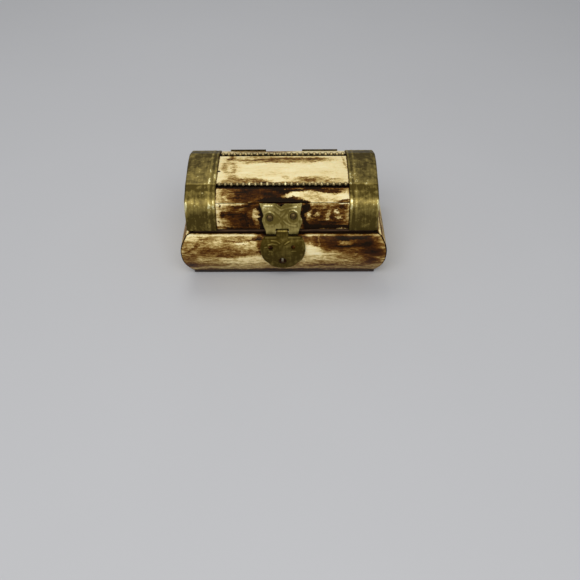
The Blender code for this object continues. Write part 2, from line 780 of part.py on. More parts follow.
def nail_in_leaf(x):
    """Where a nail stands on a rear body leaf, square to the bone."""
    y = RIM_DEPTH / 2 + SWELL + LEAF_STANDOFF + SHEET_THICKNESS + CLEARANCE
    spot = Vector((x, y, FULLEST_HEIGHT + NAIL_ABOVE_FULLEST))
    return Matrix.Translation(spot) @ Matrix.Rotation(-math.pi / 2, 4, "X")


def nail_holes(piece, places, name):
    """Holes in a sheet that its nails pass through."""
    mesh = bmesh.new()
    room = NAIL_SHANK_RADIUS + CLEARANCE
    reach = SHEET_THICKNESS + 2 * CLEARANCE
    for place in places:
        add_turned(mesh, ((-reach, room), (CLEARANCE, room)), NAIL_SIDES, place)
    cutter = piece_from(name, mesh, None, None)
    change_by(piece, cutter, "DIFFERENCE")


def add_nails(name, places, shank, carrier):
    """The nails of one kind, numbered from the left."""
    for number, place in enumerate(places, start=1):
        mesh = bmesh.new()
        add_turned(mesh, nail_profile(shank), NAIL_SIDES, place)
        piece_from(f"{name}_{number}", mesh, NAIL_BRASS, carrier, smooth=True)


def rolled_sheet(name, line, width, middle, outline, finish, carrier, rear=False):
    """A brass sheet with a rolled edge, cut to its outline."""
    start, end = middle - width / 2, middle + width / 2
    section = sheet_outline(line, rear)
    piece = prism(name, section, start, end, finish, carrier, smooth=True)
    cut_to(piece, moved(outline, middle), rear)
    return piece


def rear_hinges(body, lid):
    """Two rolled hinges: a leaf on the lid, a leaf on the body and a pin."""
    straight = ((1, 0), (1, 0.97), (0.97, 1), (0, 1))
    plate = plate_outline(HINGE_WIDTH, HINGE_KNUCKLE, straight)
    below = [
        (0, HINGE_LEAF_FOOT),
        (HINGE_WIDTH / 2 - EASED_EDGE, HINGE_LEAF_FOOT),
        (HINGE_WIDTH / 2, HINGE_LEAF_FOOT + EASED_EDGE),
    ]
    leaf = leaf_outline(HINGE_KNUCKLE, below, HINGE_WIDTH)
    lid_places, body_places = [], []
    for side_name, side in (("left", -1), ("right", 1)):
        middle = side * HINGE_MIDDLE
        sheet_width = HINGE_WIDTH + OVERRUN
        nail_xs = (middle - NAIL_SPACING / 2, middle + NAIL_SPACING / 2)
        name = side_name + "_hinge_lid_leaf"
        line = plate_line()
        piece = rolled_sheet(
            name, line, sheet_width, middle, plate, BRASS, lid, rear=True
        )
        places = [nail_in_plate(x, rear=True)[0] for x in nail_xs]
        nail_holes(piece, places, name + "_holes")
        lid_places += places
        name = side_name + "_hinge_body_leaf"
        line = leaf_line(HINGE_LEAF_FOOT)
        piece = rolled_sheet(
            name, line, sheet_width, middle, leaf, BRASS, body, rear=True
        )
        places = [nail_in_leaf(x) for x in nail_xs]
        nail_holes(piece, places, name + "_holes")
        body_places += places
        add_pin(side_name + "_hinge_pin", middle, HINGE_WIDTH, True, body)
    shank = nail_in_plate(0, rear=True)[1]
    add_nails("lid_hinge_nail", lid_places, shank, lid)
    shank = SHEET_THICKNESS + CLEARANCE
    add_nails("body_hinge_nail", body_places, shank, body)


def hasp_plate(lid):
    """The hasp's plate on the lid's front, its two nails and its pin."""
    plate = plate_outline(PLATE_WIDTH, HASP_KNUCKLE, PLATE_OUTLINE_SHARES)
    width, middle = PLATE_WIDTH + OVERRUN, HASP_SIDE_SHIFT
    piece = rolled_sheet("hasp_plate", plate_line(), width, middle, plate, BRASS, lid)
    nail_xs = (middle - NAIL_SPACING / 2, middle + NAIL_SPACING / 2)
    places = [nail_in_plate(x, rear=False)[0] for x in nail_xs]
    nail_holes(piece, places, "hasp_plate_holes")
    shank = nail_in_plate(0, rear=False)[1]
    add_nails("hasp_plate_nail", places, shank, lid)
    pin_width = PLATE_WIDTH * PLATE_OUTLINE_SHARES[0][0]
    add_pin("hasp_pin", middle, pin_width, False, lid)


def hasp_leaf(hasp):
    """The hanging shield with its rolled knuckle, two eyes and the lock hole."""
    outline = leaf_outline(HASP_KNUCKLE, shield_side(), LEAF_SHOULDER_WIDTH)
    line = leaf_line(HASP_LEAF_FOOT)
    width, middle = LEAF_WIDTH + OVERRUN, HASP_SIDE_SHIFT
    leaf = rolled_sheet("hasp_leaf", line, width, middle, outline, DARK_BRASS, hasp)
    eye_height = AXIS_HEIGHT - EYE_DROP
    for name, side in (("left_eye", -1), ("right_eye", 1)):
        x = middle + side * EYE_SPACING / 2
        change_by(leaf, round_hole(name, x, eye_height, EYE_RADIUS), "DIFFERENCE")
    height = AXIS_HEIGHT - LOCK_HOLE_DROP
    hole = round_hole("lock_hole", middle, height, LOCK_HOLE_RADIUS)
    change_by(leaf, hole, "DIFFERENCE")


def staple_outline(room):
    """The staple's upright face, grown by some room for its slot."""
    width, height = STAPLE_WIDTH / 2 + room, STAPLE_HEIGHT / 2 + room
    middle = AXIS_HEIGHT - LOCK_HOLE_DROP
    corner = STAPLE_WIDTH / 4
    side = [
        (width - corner, middle - height),
        (width, middle - height + corner),
        (width, middle + height - corner),
        (width - corner, middle + height),
    ]
    return moved(mirrored_outline(side), HASP_SIDE_SHIFT)


def hasp_staple(front_bone, body):
    """The staple in its slot in the front bone, just behind the leaf's hole."""
    tip = -RIM_DEPTH / 2 - SWELL - LEAF_STANDOFF + CLEARANCE
    root = tip + STAPLE_DEPTH
    bottom = root + CLEARANCE
    slot = front_cutter("staple_slot", staple_outline(CLEARANCE), bottom, tip - OVERRUN)
    change_by(front_bone, slot, "DIFFERENCE")
    mesh = bmesh.new()
    outline = staple_outline(0)
    face = mesh.faces.new([mesh.verts.new((x, root, z)) for x, z in outline])
    made = bmesh.ops.extrude_face_region(mesh, geom=[face])["geom"]
    verts = [item for item in made if isinstance(item, bmesh.types.BMVert)]
    bmesh.ops.translate(mesh, verts=verts, vec=(0, tip - root, 0))
    piece_from("hasp_staple", mesh, BRASS, body)


def build():
    clear_scene()
    body = carrier_at("box_body", (0, 0, 0))
    lid = carrier_at("lid_axis", (0, AXIS_HALF_DEPTH, AXIS_HEIGHT), body)
    hasp = carrier_at("hasp_axis", (0, -2 * AXIS_HALF_DEPTH, 0), lid)
    body_carcass(body)
    body_lining(body)
    front_bone = body_cladding(body)
    lid_shell(lid)
    lid_ends(lid)
    brass_bands(lid)
    bead_wires(lid)
    rear_hinges(body, lid)
    hasp_plate(lid)
    hasp_leaf(hasp)
    hasp_staple(front_bone, body)


build()
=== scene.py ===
# %% [markdown]
# # A bone trinket box
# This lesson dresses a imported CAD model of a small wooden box. Bone panels with
# swelling fronts clad its body. Its lid is a faceted barrel of bone slabs, with a
# brass band folded round each end, two beaded wires, and a hasp nailed to the front.
# The CAD model is the frame: it moves, and every piece made here rides on one of its
# bodies.

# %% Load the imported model
import json
import math
from functools import partial

import bmesh
import bpy
from mathutils import Matrix, Vector, noise

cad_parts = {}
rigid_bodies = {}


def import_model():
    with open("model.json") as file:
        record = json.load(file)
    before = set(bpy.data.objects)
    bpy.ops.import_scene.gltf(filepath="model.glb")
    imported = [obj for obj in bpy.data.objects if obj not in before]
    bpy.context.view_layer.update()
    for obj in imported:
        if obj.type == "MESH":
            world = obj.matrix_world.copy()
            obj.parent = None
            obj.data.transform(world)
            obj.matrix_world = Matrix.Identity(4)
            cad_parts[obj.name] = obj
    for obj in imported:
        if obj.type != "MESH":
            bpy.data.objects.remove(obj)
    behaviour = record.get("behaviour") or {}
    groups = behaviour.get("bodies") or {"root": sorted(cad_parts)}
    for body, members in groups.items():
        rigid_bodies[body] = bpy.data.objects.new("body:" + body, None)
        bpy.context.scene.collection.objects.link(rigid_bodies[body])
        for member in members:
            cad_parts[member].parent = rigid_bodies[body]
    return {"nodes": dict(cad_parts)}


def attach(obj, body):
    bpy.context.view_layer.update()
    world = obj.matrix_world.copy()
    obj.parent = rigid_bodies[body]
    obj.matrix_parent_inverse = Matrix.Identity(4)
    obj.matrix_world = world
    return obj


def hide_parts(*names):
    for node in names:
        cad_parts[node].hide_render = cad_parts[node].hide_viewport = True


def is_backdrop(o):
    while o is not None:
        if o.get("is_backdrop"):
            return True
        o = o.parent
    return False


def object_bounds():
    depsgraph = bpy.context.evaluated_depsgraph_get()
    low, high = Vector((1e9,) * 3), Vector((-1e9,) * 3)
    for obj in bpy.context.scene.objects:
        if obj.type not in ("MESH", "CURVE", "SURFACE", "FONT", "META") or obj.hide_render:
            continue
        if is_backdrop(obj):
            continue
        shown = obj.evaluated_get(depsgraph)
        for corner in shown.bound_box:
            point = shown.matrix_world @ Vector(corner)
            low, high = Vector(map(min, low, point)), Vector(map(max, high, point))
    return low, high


for leftover in list(bpy.data.objects):
    bpy.data.objects.remove(leftover, do_unlink=True)
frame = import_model()
cad_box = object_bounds()
scene = bpy.context.scene
MM = 0.001

# %% [markdown]
# The camera looks down on the front. It could be placed by eye, but its place here
# comes from a fit to the straight edges of the box, so that the render and the
# photograph lie over each other.

# %% The camera
CAMERA_PLACE = Vector((4.52, -249.91, 220.83)) * MM
CAMERA_PITCH = math.radians(43.42)
CAMERA_HEADING = math.radians(0.41)
CAMERA_ROLL = math.radians(-0.46)
FOCAL_PIXELS = 600
PICTURE_PIXELS = 580
SENSOR = 36
NEAREST_SEEN = 10 * MM

camera_data = bpy.data.cameras.new("camera")
camera_data.sensor_width = SENSOR
camera_data.lens = SENSOR * FOCAL_PIXELS / PICTURE_PIXELS
camera_data.clip_start = NEAREST_SEEN
camera = bpy.data.objects.new("camera", camera_data)
turned = Matrix.Rotation(CAMERA_HEADING, 4, "Z") @ Matrix.Rotation(CAMERA_PITCH, 4, "X")
turned = turned @ Matrix.Rotation(CAMERA_ROLL, 4, "Z")
camera.matrix_world = Matrix.Translation(CAMERA_PLACE) @ turned
scene.collection.objects.link(camera)
scene.camera = camera
print("lens:", round(camera_data.lens, 2), "mm")

# %% [markdown]
# A material here is a tree of nodes. The nodes could be added one by one, but small
# helpers keep the finishes short: each adds one kind of node, links what is a
# socket, and sets what is a number. Every pattern reads Object coordinates, turned
# into millimetres, so a noise of scale 1 has features about a millimetre across.


# %% Helpers for materials
def fill(tree, node, inputs):
    """Links or sets the sockets of a node."""
    for name, value in inputs.items():
        if isinstance(value, bpy.types.NodeSocket):
            tree.links.new(value, node.inputs[name])
        else:
            node.inputs[name].default_value = value


def add(tree, kind, inputs=None, **settings):
    """A new node, with its settings, and its sockets linked or set."""
    made = tree.nodes.new("ShaderNode" + kind)
    for name, value in settings.items():
        setattr(made, name, value)
    fill(tree, made, inputs or {})
    return made


def new_material(name):
    """An empty tree that ends in a Principled shader."""
    material = bpy.data.materials.new(name)
    material.use_nodes = True
    tree = material.node_tree
    return material, tree, tree.nodes["Principled BSDF"]


def in_millimetres(tree):
    place = add(tree, "TexCoord").outputs["Object"]
    scaled = add(tree, "VectorMath", {0: place, "Scale": 1 / MM}, operation="SCALE")
    return scaled.outputs["Vector"]


def calc(tree, operation, first, second=0.0, clamp=False):
    made = add(tree, "Math", {0: first, 1: second}, operation=operation, use_clamp=clamp)
    return made.outputs["Value"]


def times(tree, first, second):
    return calc(tree, "MULTIPLY", first, second)


def total(tree, first, *others):
    for other in others:
        first = calc(tree, "ADD", first, other)
    return first


def apart(tree, first, second):
    """How far two values are from each other."""
    return calc(tree, "ABSOLUTE", calc(tree, "SUBTRACT", first, second))


# %% [markdown]
# Real finishes are never even, so patterns of soft noise turn one tone into another
# and raise the surface. Painted images could do this too, but noise has no seams and
# no size of its own. Colours are named as the screen shows them, from 0 to 255.

# %% Patterns and colours
BUMP_HEIGHT = 0.1 * MM
EVEN = (1.0, 1.0, 1.0)


def between(tree, value, low, high, start=0.0, end=1.0):
    """The value's place between low and high, smoothed, from start to end."""
    inputs = {"Value": value, "From Min": low, "From Max": high, "To Min": start, "To Max": end}
    return add(tree, "MapRange", inputs, interpolation_type="SMOOTHSTEP").outputs["Result"]


def cloud(tree, place, kind, stretch=EVEN, output="Fac"):
    """Noise of a kind (scale, detail, roughness), drawn out where a stretch is above 1."""
    scale, detail, roughness = kind
    thin = tuple(1 / size for size in stretch)
    spread = add(tree, "VectorMath", {0: place, 1: thin}, operation="MULTIPLY").outputs["Vector"]
    inputs = {"Vector": spread, "Scale": scale, "Detail": detail, "Roughness": roughness}
    return add(tree, "TexNoise", inputs).outputs[output]


def drawn_out(axis, share):
    """A stretch along one axis."""
    return [share if count == axis else 1.0 for count in range(3)]


def mixed(tree, share, first, second):
    """One colour turning into another by a share."""
    return add(tree, "Mix", {0: share, 6: first, 7: second}, data_type="RGBA").outputs[2]


def ramp(tree, share, stops):
    """A row of colours, each at its place along the share."""
    made = add(tree, "ValToRGB", {"Fac": share})
    bar = made.color_ramp
    while len(bar.elements) < len(stops):
        bar.elements.new(0.5)
    for element, (place, colour) in zip(bar.elements, stops):
        element.position = place
        element.color = colour
    return made.outputs["Color"]


def bumped(tree, height, depth):
    """The normal of a surface that is raised by a height, in a depth from 0 to 1."""
    inputs = {"Height": height, "Strength": depth, "Distance": BUMP_HEIGHT}
    return add(tree, "Bump", inputs).outputs["Normal"]


def as_light(red, green, blue):
    """A colour of the screen, from 0 to 255, as the light values that nodes use."""
    shares = [value / 255 for value in (red, green, blue)]
    return (*(((share + 0.055) / 1.055) ** 2.4 for share in shares), 1)


# %% [markdown]
# Dirt, rubbing and painted shade follow a box's shape, so the finishes need its main
# sizes as much as the pieces do. They are the CAD model's own sizes. The beads' middle
# and reach follow from the bands, between which the wires lie.

# %% Sizes of the body and the lid
RIM_LENGTH = 95.0 * MM
RIM_DEPTH = 58.8 * MM
RIM_HEIGHT = 26.7 * MM
LID_FOOT = 27.2 * MM
LID_FOOT_HALF_DEPTH = 25.8 * MM
RIDGE_HALF_DEPTH = 22.0 * MM
RIDGE_RISE = 13.5 * MM
TOP_HALF_DEPTH = 12.7 * MM
LID_SIDE_SHIFT = -0.8 * MM
BAND_END = 46.95 * MM
BAND_WIDTHS = {-1: 14.9 * MM, 1: 14.1 * MM}
BEADS_MIDDLE = LID_SIDE_SHIFT + (BAND_WIDTHS[-1] - BAND_WIDTHS[1]) / 2
BEADS_REACH = BAND_END - (BAND_WIDTHS[-1] + BAND_WIDTHS[1]) / 2
print("the slabs show between the bands for", round(2 * BEADS_REACH / MM, 1), "mm")

# %% [markdown]
# Bone of this kind is boiled white, scorched or stained in patches, and polished. It
# could be painted on an image, but a finish made of nodes can be reused at any size.
# One number tells how burnt a spot is, and a row of colours turns that number into
# cream, tan, orange-brown and near-black. Each panel lists its own patches: where
# they lie, how far they reach, and how much they burn, or spare with a minus sign.
# Noise bends their outlines, drawn out along the panel as bone's grain is.

# %% Burnt bone
BONE_COLOURS = (
    (0.00, as_light(254, 240, 190)),
    (0.20, as_light(240, 218, 158)),
    (0.36, as_light(200, 174, 110)),
    (0.52, as_light(148, 116, 58)),
    (0.68, as_light(100, 60, 14)),
    (0.84, as_light(58, 27, 4)),
    (1.00, as_light(22, 11, 5)),
)
FAR = 1000.0
PATCH_FADES = (1.4, 0.6)
GRAIN, SHORT_GRAIN, LONG_GRAIN = 3.2, 3.0, 16.0
WIDE_BENDS, WIDE_BEND = (0.15, 3.0, 0.55), 8.0
FINE_BENDS, FINE_BEND, WEAR_BEND = (0.85, 6.0, 0.72), 3.6, 1.2
BROAD_NOISE, BROAD_BURN = (0.12, 3.0, 0.5), (0.35, 0.65, -0.06, 0.06)
STAIN_NOISE, STAIN_RANGE, STAIN_BY_BURN = (0.42, 7.0, 0.74), (0.34, 0.66), (0.05, 0.42, 0.50, 1.0)
SPECK_NOISE, SPECK_BURN = (1.2, 5.0, 0.7), (0.34, 0.66, -0.14, 0.14)
SPECKS_FROM, SPECKS_TO = (0.10, 0.30), (0.95, 0.60)
LINE_NOISE, LINE_BURN = (1.3, 3.0, 0.6), (0.56, 0.72, 0.0, 0.14)
BONE_SHINE, BONE_RELIEF = (0.3, 0.7, 0.34, 0.52), 0.45
BONE_SURFACE = {
    "Specular IOR Level": 0.12,
    "Specular Tint": (1.0, 0.82, 0.52, 1),
    "Subsurface Weight": 0.08,
    "Subsurface Radius": (1.2, 0.8, 0.5),
    "Subsurface Scale": 1.0 * MM,
}


def patch_amount(tree, place, axes, patch):
    """How much one patch burns each spot."""
    along, across, half_length, half_width, amount, angle = (*patch, 0)[:6]
    centre, reach, turn = [0.0] * 3, [FAR] * 3, [0.0] * 3
    first, second = axes
    centre[first], centre[second] = along, across
    reach[first], reach[second] = half_length, half_width
    turn[3 - first - second] = math.radians(angle)
    inputs = {"Vector": place, "Location": centre, "Scale": reach, "Rotation": turn}
    local = add(tree, "Mapping", inputs, vector_type="TEXTURE").outputs["Vector"]
    away = add(tree, "VectorMath", {0: local}, operation="LENGTH").outputs["Value"]
    return between(tree, away, *PATCH_FADES, 0.0, amount)


def shifted(tree, place, source, reach):
    """A place moved to and fro by a coloured noise."""
    centred = add(tree, "VectorMath", {0: source, 1: (-0.5,) * 3}, operation="ADD")
    inputs = {0: centred.outputs["Vector"], 1: (reach,) * 3, 2: place}
    return add(tree, "VectorMath", inputs, operation="MULTIPLY_ADD").outputs["Vector"]


def burnt_bone(name, axes, start, patches, mottle, wear_and_shade):
    """Polished bone, burnt from its starting amount by its own patches."""
    material, tree, shader = new_material(name)
    place = in_millimetres(tree)
    grain, short, long = (drawn_out(axes[0], share) for share in (GRAIN, SHORT_GRAIN, LONG_GRAIN))
    wide = cloud(tree, place, WIDE_BENDS, grain, "Color")
    fine = cloud(tree, place, FINE_BENDS, output="Color")
    moved = shifted(tree, shifted(tree, place, wide, WIDE_BEND), fine, FINE_BEND)
    amounts = [patch_amount(tree, moved, axes, patch) for patch in patches.values()]
    broad = between(tree, cloud(tree, moved, BROAD_NOISE, grain), *BROAD_BURN)
    burn = total(tree, start, *amounts, broad)
    stain = cloud(tree, moved, STAIN_NOISE, grain)
    blotch = between(tree, stain, *STAIN_RANGE, -mottle / 2, mottle / 2)
    burn = total(tree, burn, times(tree, blotch, between(tree, burn, *STAIN_BY_BURN)))
    specks = cloud(tree, place, SPECK_NOISE, short)
    at_edges = times(tree, between(tree, burn, *SPECKS_FROM), between(tree, burn, *SPECKS_TO))
    burn = total(tree, burn, times(tree, between(tree, specks, *SPECK_BURN), at_edges))
    lines = cloud(tree, place, LINE_NOISE, long)
    burn = total(tree, burn, between(tree, lines, *LINE_BURN))
    worn_and_shaded = wear_and_shade(tree, shifted(tree, place, fine, WEAR_BEND))
    colour = ramp(tree, calc(tree, "ADD", burn, worn_and_shaded, True), BONE_COLOURS)
    pores = total(tree, stain, times(tree, total(tree, lines, specks), 0.5))
    normal = bumped(tree, pores, BONE_RELIEF)
    shine = between(tree, stain, *BONE_SHINE)
    fill(tree, shader, {"Base Color": colour, "Roughness": shine, "Normal": normal})
    fill(tree, shader, BONE_SURFACE)
    print(name, len(patches), "patches")
    return material


# %% [markdown]
# Over the burns lies wear, and painted shade. Dirt stays in the mitres. Under the lid,
# along the bands and in the beads' grooves, dirt and painted shade darken the bone.
# Hands rub the ridges pale, and the rim is rubbed pale with a painted highlight. More
# patches could do it, but wear and shade follow edges, so they are worked out from the
# distance to each. A range of two says where it fades out and where it is full, in
# millimetres. Two more values say how much it burns at both.

# %% Wear and painted shade on the bone
MITRE_DIRT = (0.7, 0.2, 0.0, 0.8)
RIM_TOP = (26.0, 26.5)
# Under the lid the rim's top is darker: dirt and painted shade.
RIM_DIRT_AND_SHADE = (0.9, 2.0, 0.0, 0.9)
# Along the rim's edge a pale line: rubbed, and a painted highlight.
RIM_RUB_AND_GLINT_PLACE, RIM_RUB_AND_GLINT, RIM_RUB_AND_GLINT_ABOVE = 0.2, (0.8, 0.2, 0.0, -0.40), (25.7, 26.3)
# Along the bands' inner edges: dirt and the bands' painted shadow.
BAND_DIRT_AND_SHADOW = (BEADS_REACH / MM - 0.5, BEADS_REACH / MM, 0.0, 0.8)
# In the beads' grooves: dirt and painted shade.
BEHIND_BEADS, BEFORE_BEADS = (-1.6, -0.7), (2.6, 1.2)
RIDGE_RUB, RIDGE_RUB_BELOW = (0.85, 0.4, 0.0, -0.22), 0.45


def parts_of(tree, place):
    return add(tree, "SeparateXYZ", {"Vector": place}).outputs


def body_wear_and_shade(tree, place, outward):
    """Dirt in the mitres, dirt and painted shade under the lid, and a rubbed line with a painted
    highlight along the rim.
    """
    parts = parts_of(tree, place)
    across = [apart(tree, parts[axis], 0.0) for axis in (0, 1)]
    rim = RIM_LENGTH / 2 / MM, RIM_DEPTH / 2 / MM
    past = apart(tree, calc(tree, "SUBTRACT", *across), rim[0] - rim[1])
    inward = calc(tree, "SUBTRACT", rim[outward], across[outward])
    dirt_and_shade = times(tree, between(tree, parts[2], *RIM_TOP), between(tree, inward, *RIM_DIRT_AND_SHADE))
    # The pale line along the rim: rubbed, and a painted highlight.
    rubbed = between(tree, apart(tree, inward, RIM_RUB_AND_GLINT_PLACE), *RIM_RUB_AND_GLINT)
    rubbed = times(tree, rubbed, between(tree, parts[2], *RIM_RUB_AND_GLINT_ABOVE))
    return total(tree, between(tree, past, *MITRE_DIRT), dirt_and_shade, rubbed)


def lid_wear_and_shade(tree, place):
    """Dirt and painted shade along the bands and in the beads' grooves, and rubbed ridges."""
    parts = parts_of(tree, place)
    edge = between(tree, apart(tree, parts[0], BEADS_MIDDLE / MM), *BAND_DIRT_AND_SHADOW)
    depth = apart(tree, parts[1], 0.0)
    from_groove = calc(tree, "SUBTRACT", depth, TOP_HALF_DEPTH / MM)
    groove = [between(tree, from_groove, *side) for side in (BEHIND_BEADS, BEFORE_BEADS)]
    below = times(tree, apart(tree, parts[2], (LID_FOOT + RIDGE_RISE) / MM), RIDGE_RUB_BELOW)
    from_ridge = calc(tree, "MAXIMUM", apart(tree, depth, RIDGE_HALF_DEPTH / MM), below)
    return total(tree, edge, times(tree, *groove), between(tree, from_ridge, *RIDGE_RUB))


def plain(tree, place):
    """No wear of its own."""
    return 0.0


end_wear_and_shade = partial(body_wear_and_shade, outward=0)
front_wear_and_shade = partial(body_wear_and_shade, outward=1)
print("wear lies within", RIM_DIRT_AND_SHADE[1], "mm of the rim")

# %% [markdown]
# The patches are the marks of this one box, read off the photograph. Each has its
# place, its half length and half width in millimetres, how much it burns, and a
# turn in degrees where it lies askew. They could be painted, but as rows of numbers
# each can be moved by itself. Two axes name the plane that a panel's patches lie in.

# %% Patches on the lid's top and front
ALONG_X_BY_Y = (0, 1)
ALONG_X_BY_Z = (0, 2)
ALONG_Y_BY_Z = (1, 2)

TOP_PATCHES = {
    "ring, upper blob": (-27.4, 8.6, 1.5, 2.6, 0.26),
    "ring, left": (-29.2, 0.8, 1.3, 3.2, 0.17),
    "ring, right": (-24.9, 1.2, 1.3, 3.2, 0.19),
    "ring, top": (-27.0, 4.6, 2.8, 1.2, 0.16),
    "ring, foot": (-27.0, -2.4, 2.8, 1.2, 0.16),
    "below the ring": (-25.4, -6.6, 2.2, 2.0, 0.20),
    "around the ring": (-26.8, 1.0, 4.6, 9.0, 0.16),
    "rear streak": (3.0, 7.2, 21.0, 3.0, 0.46),
    "rear streak, dark core": (6.0, 8.2, 16.0, 0.9, 0.12),
    "rear streak, left end": (-20.0, 8.6, 12.0, 1.2, 0.26),
    # a painted shadow of the rear beads along the slab's rear edge
    "rear edge, painted shadow of the beads": (0.0, 10.8, 30.0, 0.9, 0.16),
    "front mottle, left": (-19.0, -10.4, 11.5, 2.2, 0.43),
    "front mottle, middle": (-2.0, -11.4, 12.0, 0.9, 0.46),
    "front blob": (1.2, -7.4, 1.9, 1.9, 0.24),
    "front mottle, right": (11.0, -9.4, 6.5, 2.2, 0.28),
    "front mottle, right end": (21.0, -10.2, 9.0, 1.6, 0.25),
    "nail dot": (-32.5, -1.2, 0.6, 0.9, 1.40),
    "right smudge": (31.2, 5.4, 0.8, 4.2, 0.30),
}
UPPER_PATCHES = {
    "left and middle": (-13.0, -17.5, 16.5, 7.0, 0.66),
    "under the beads, right": (14.0, -15.4, 17.0, 1.2, 0.62),
    "above the hasp": (0.5, -20.6, 11.0, 1.9, 0.78),
    "above the hasp, right": (9.4, -20.7, 5.0, 1.1, 0.50),
    "brown in the streak": (15.0, -19.2, 12.0, 1.6, 0.14),
    "bare tongue": (3.4, -17.6, 4.4, 0.9, -0.50),
    "bare right end": (29.6, -18.0, 2.6, 3.0, -0.14),
    "right of the hasp": (12.0, -21.6, 3.0, 0.7, 0.50),
    "patch by the right band": (28.6, -20.6, 3.6, 0.8, 0.70),
    "orange by the left end": (-26.0, -18.7, 3.4, 2.4, -0.22),
}
LOWER_PATCHES = {
    "left burn": (-18.0, 34.0, 12.0, 9.0, 0.66),
    "left burn, bottom": (-20.0, 30.0, 9.0, 3.4, 0.08),
    "left burn, top": (-19.0, 39.8, 9.0, 1.2, 0.22),
    "left burn, paler upper part": (-22.0, 38.0, 6.0, 2.0, -0.12),
    "beside the plate, left": (-10.6, 32.0, 1.2, 7.0, 0.45),
    "bare by the plate": (-12.9, 33.8, 1.5, 3.4, -0.50),
    "paler beside it": (-15.2, 33.8, 2.0, 2.4, -0.16),
    # darker along the lid's foot: burn and painted shade
    "bottom edge, burn and painted shade": (0.0, 27.4, 44.0, 1.1, 0.60),
    "right burn": (20.6, 34.5, 11.0, 8.0, 0.60),
    "right burn, bottom": (22.5, 29.2, 14.0, 1.7, 0.20),
    "right burn, top end": (29.4, 38.2, 2.6, 1.0, 0.40),
    "rubbed ridge, right": (21.0, 40.2, 11.0, 1.0, -0.34),
    "right burn, low corner": (30.4, 27.6, 3.4, 1.3, 0.50),
    "beside the plate, right": (10.4, 34.0, 1.7, 9.0, 0.56),
    "beside the plate, right, upper": (9.4, 38.8, 2.0, 3.4, 0.60),
    "behind the plate's top": (-0.6, 40.4, 8.0, 3.0, 1.00),
    "bare, first": (12.3, 35.0, 1.8, 1.8, -0.62),
    "bare, second": (16.6, 35.0, 1.4, 0.8, -0.46),
    "bare, third": (21.8, 34.8, 1.1, 1.3, -0.38),
    "bare, fourth": (25.3, 36.0, 1.4, 0.7, -0.60),
    "bare, fifth": (26.8, 33.1, 1.4, 0.7, -0.50),
    "bare, sixth": (22.0, 32.2, 1.2, 1.2, -0.40),
    "left end spots": (-30.2, 40.0, 0.6, 0.6, 0.60),
    "left end brown": (-29.2, 34.6, 1.1, 2.4, 0.22),
    "left end spot, low": (-30.7, 30.3, 0.6, 0.6, 0.55),
}

# %% [markdown]
# The body's front is darker than the lid, with pale patches along its belly, and dirt
# with painted shade under the hasp. The rear and the ends hardly show, so their burns
# are guesses of the same kind.

# %% Patches on the body, the rear and the ends
FRONT_PATCHES = {
    "left, upper bare": (-44.0, 24.6, 4.0, 1.4, -0.26),
    "left, dark streak": (-44.4, 20.8, 5.0, 0.7, 0.22, -24),
    "left, streak above": (-42.0, 24.0, 5.0, 0.4, 0.14, -20),
    "bare speck": (-31.6, 24.4, 2.6, 0.9, -0.20),
    "bare patch": (-20.6, 23.2, 3.4, 0.7, -0.32),
    "dark line, left": (-24.4, 24.4, 5.5, 0.6, 0.24),
    "dark line, right": (-13.6, 24.4, 4.0, 0.9, 0.34),
    "brown band": (-31.0, 18.6, 12.0, 3.0, 0.24),
    "brown band, right": (-17.0, 18.4, 8.0, 2.0, 0.08),
    "pale belly": (-20.0, 13.4, 14.0, 2.8, -0.20),
    "low band": (-38.0, 8.6, 12.0, 2.2, 0.14),
    "left end": (-47.0, 12.0, 4.2, 6.0, 0.20),
    "left end, low": (-44.0, 7.5, 6.0, 2.2, 0.14),
    # darker towards the body's foot: dirt and painted shade
    "bottom edge, burn and painted shade": (0.0, 3.2, 50.0, 1.6, 0.30),
    "beside the leaf": (-12.0, 21.5, 1.6, 5.0, 0.26),
    "right, dark top": (30.0, 24.4, 19.0, 2.4, 0.29),
    "right, dark band": (34.0, 20.4, 16.0, 3.6, 0.33),
    "right, dark end": (44.0, 18.0, 6.0, 7.0, 0.15),
    "right, bare heart": (14.8, 20.2, 4.6, 3.2, -0.39),
    "right, bare tail": (20.5, 18.2, 5.0, 1.6, -0.22),
    "right, pale belly": (13.0, 15.4, 7.0, 2.6, -0.12),
    "right, belly streak": (24.0, 14.0, 9.0, 1.2, -0.12),
    "right, belly": (32.0, 11.4, 16.0, 4.6, 0.10),
    "right, low streaks": (19.0, 9.6, 8.0, 1.1, 0.16),
    "right, low end": (45.0, 9.5, 6.0, 4.0, 0.05),
    "scratch": (18.0, 24.6, 0.4, 1.8, -0.17),
    "orange spot": (30.6, 24.4, 3.2, 1.1, -0.22),
    # darker on the rim at the right, dimming the rim's painted highlight
    "darker rim, right": (38.0, 26.8, 12.0, 1.3, 0.30),
    # dirt and painted shade under the knuckles, and behind the leaf, dark through its holes
    "dirt and shade under the knuckles": (-0.6, 26.6, 11.0, 1.6, 0.90),
    "dirt and shade behind the leaf": (-0.6, 18.4, 7.8, 7.2, 0.58),
}
EDGE_PATCHES = {
    "upper edge": (0.0, 26.0, 60.0, 1.6, 0.36),
    "lower edge": (0.0, 3.0, 60.0, 1.6, 0.30),
    "left burn": (-22.0, 20.0, 14.0, 4.0, 0.26),
    "right burn": (20.0, 15.0, 12.0, 5.0, 0.24),
    "bare middle": (-2.0, 14.0, 12.0, 5.0, -0.12),
}
REAR_PATCHES = {
    "upper burn": (6.0, 37.0, 20.0, 3.4, 0.45),
    "lower edge": (0.0, 28.2, 40.0, 1.4, 0.50),
    "ridge": (-12.0, 41.4, 16.0, 1.2, 0.40),
}
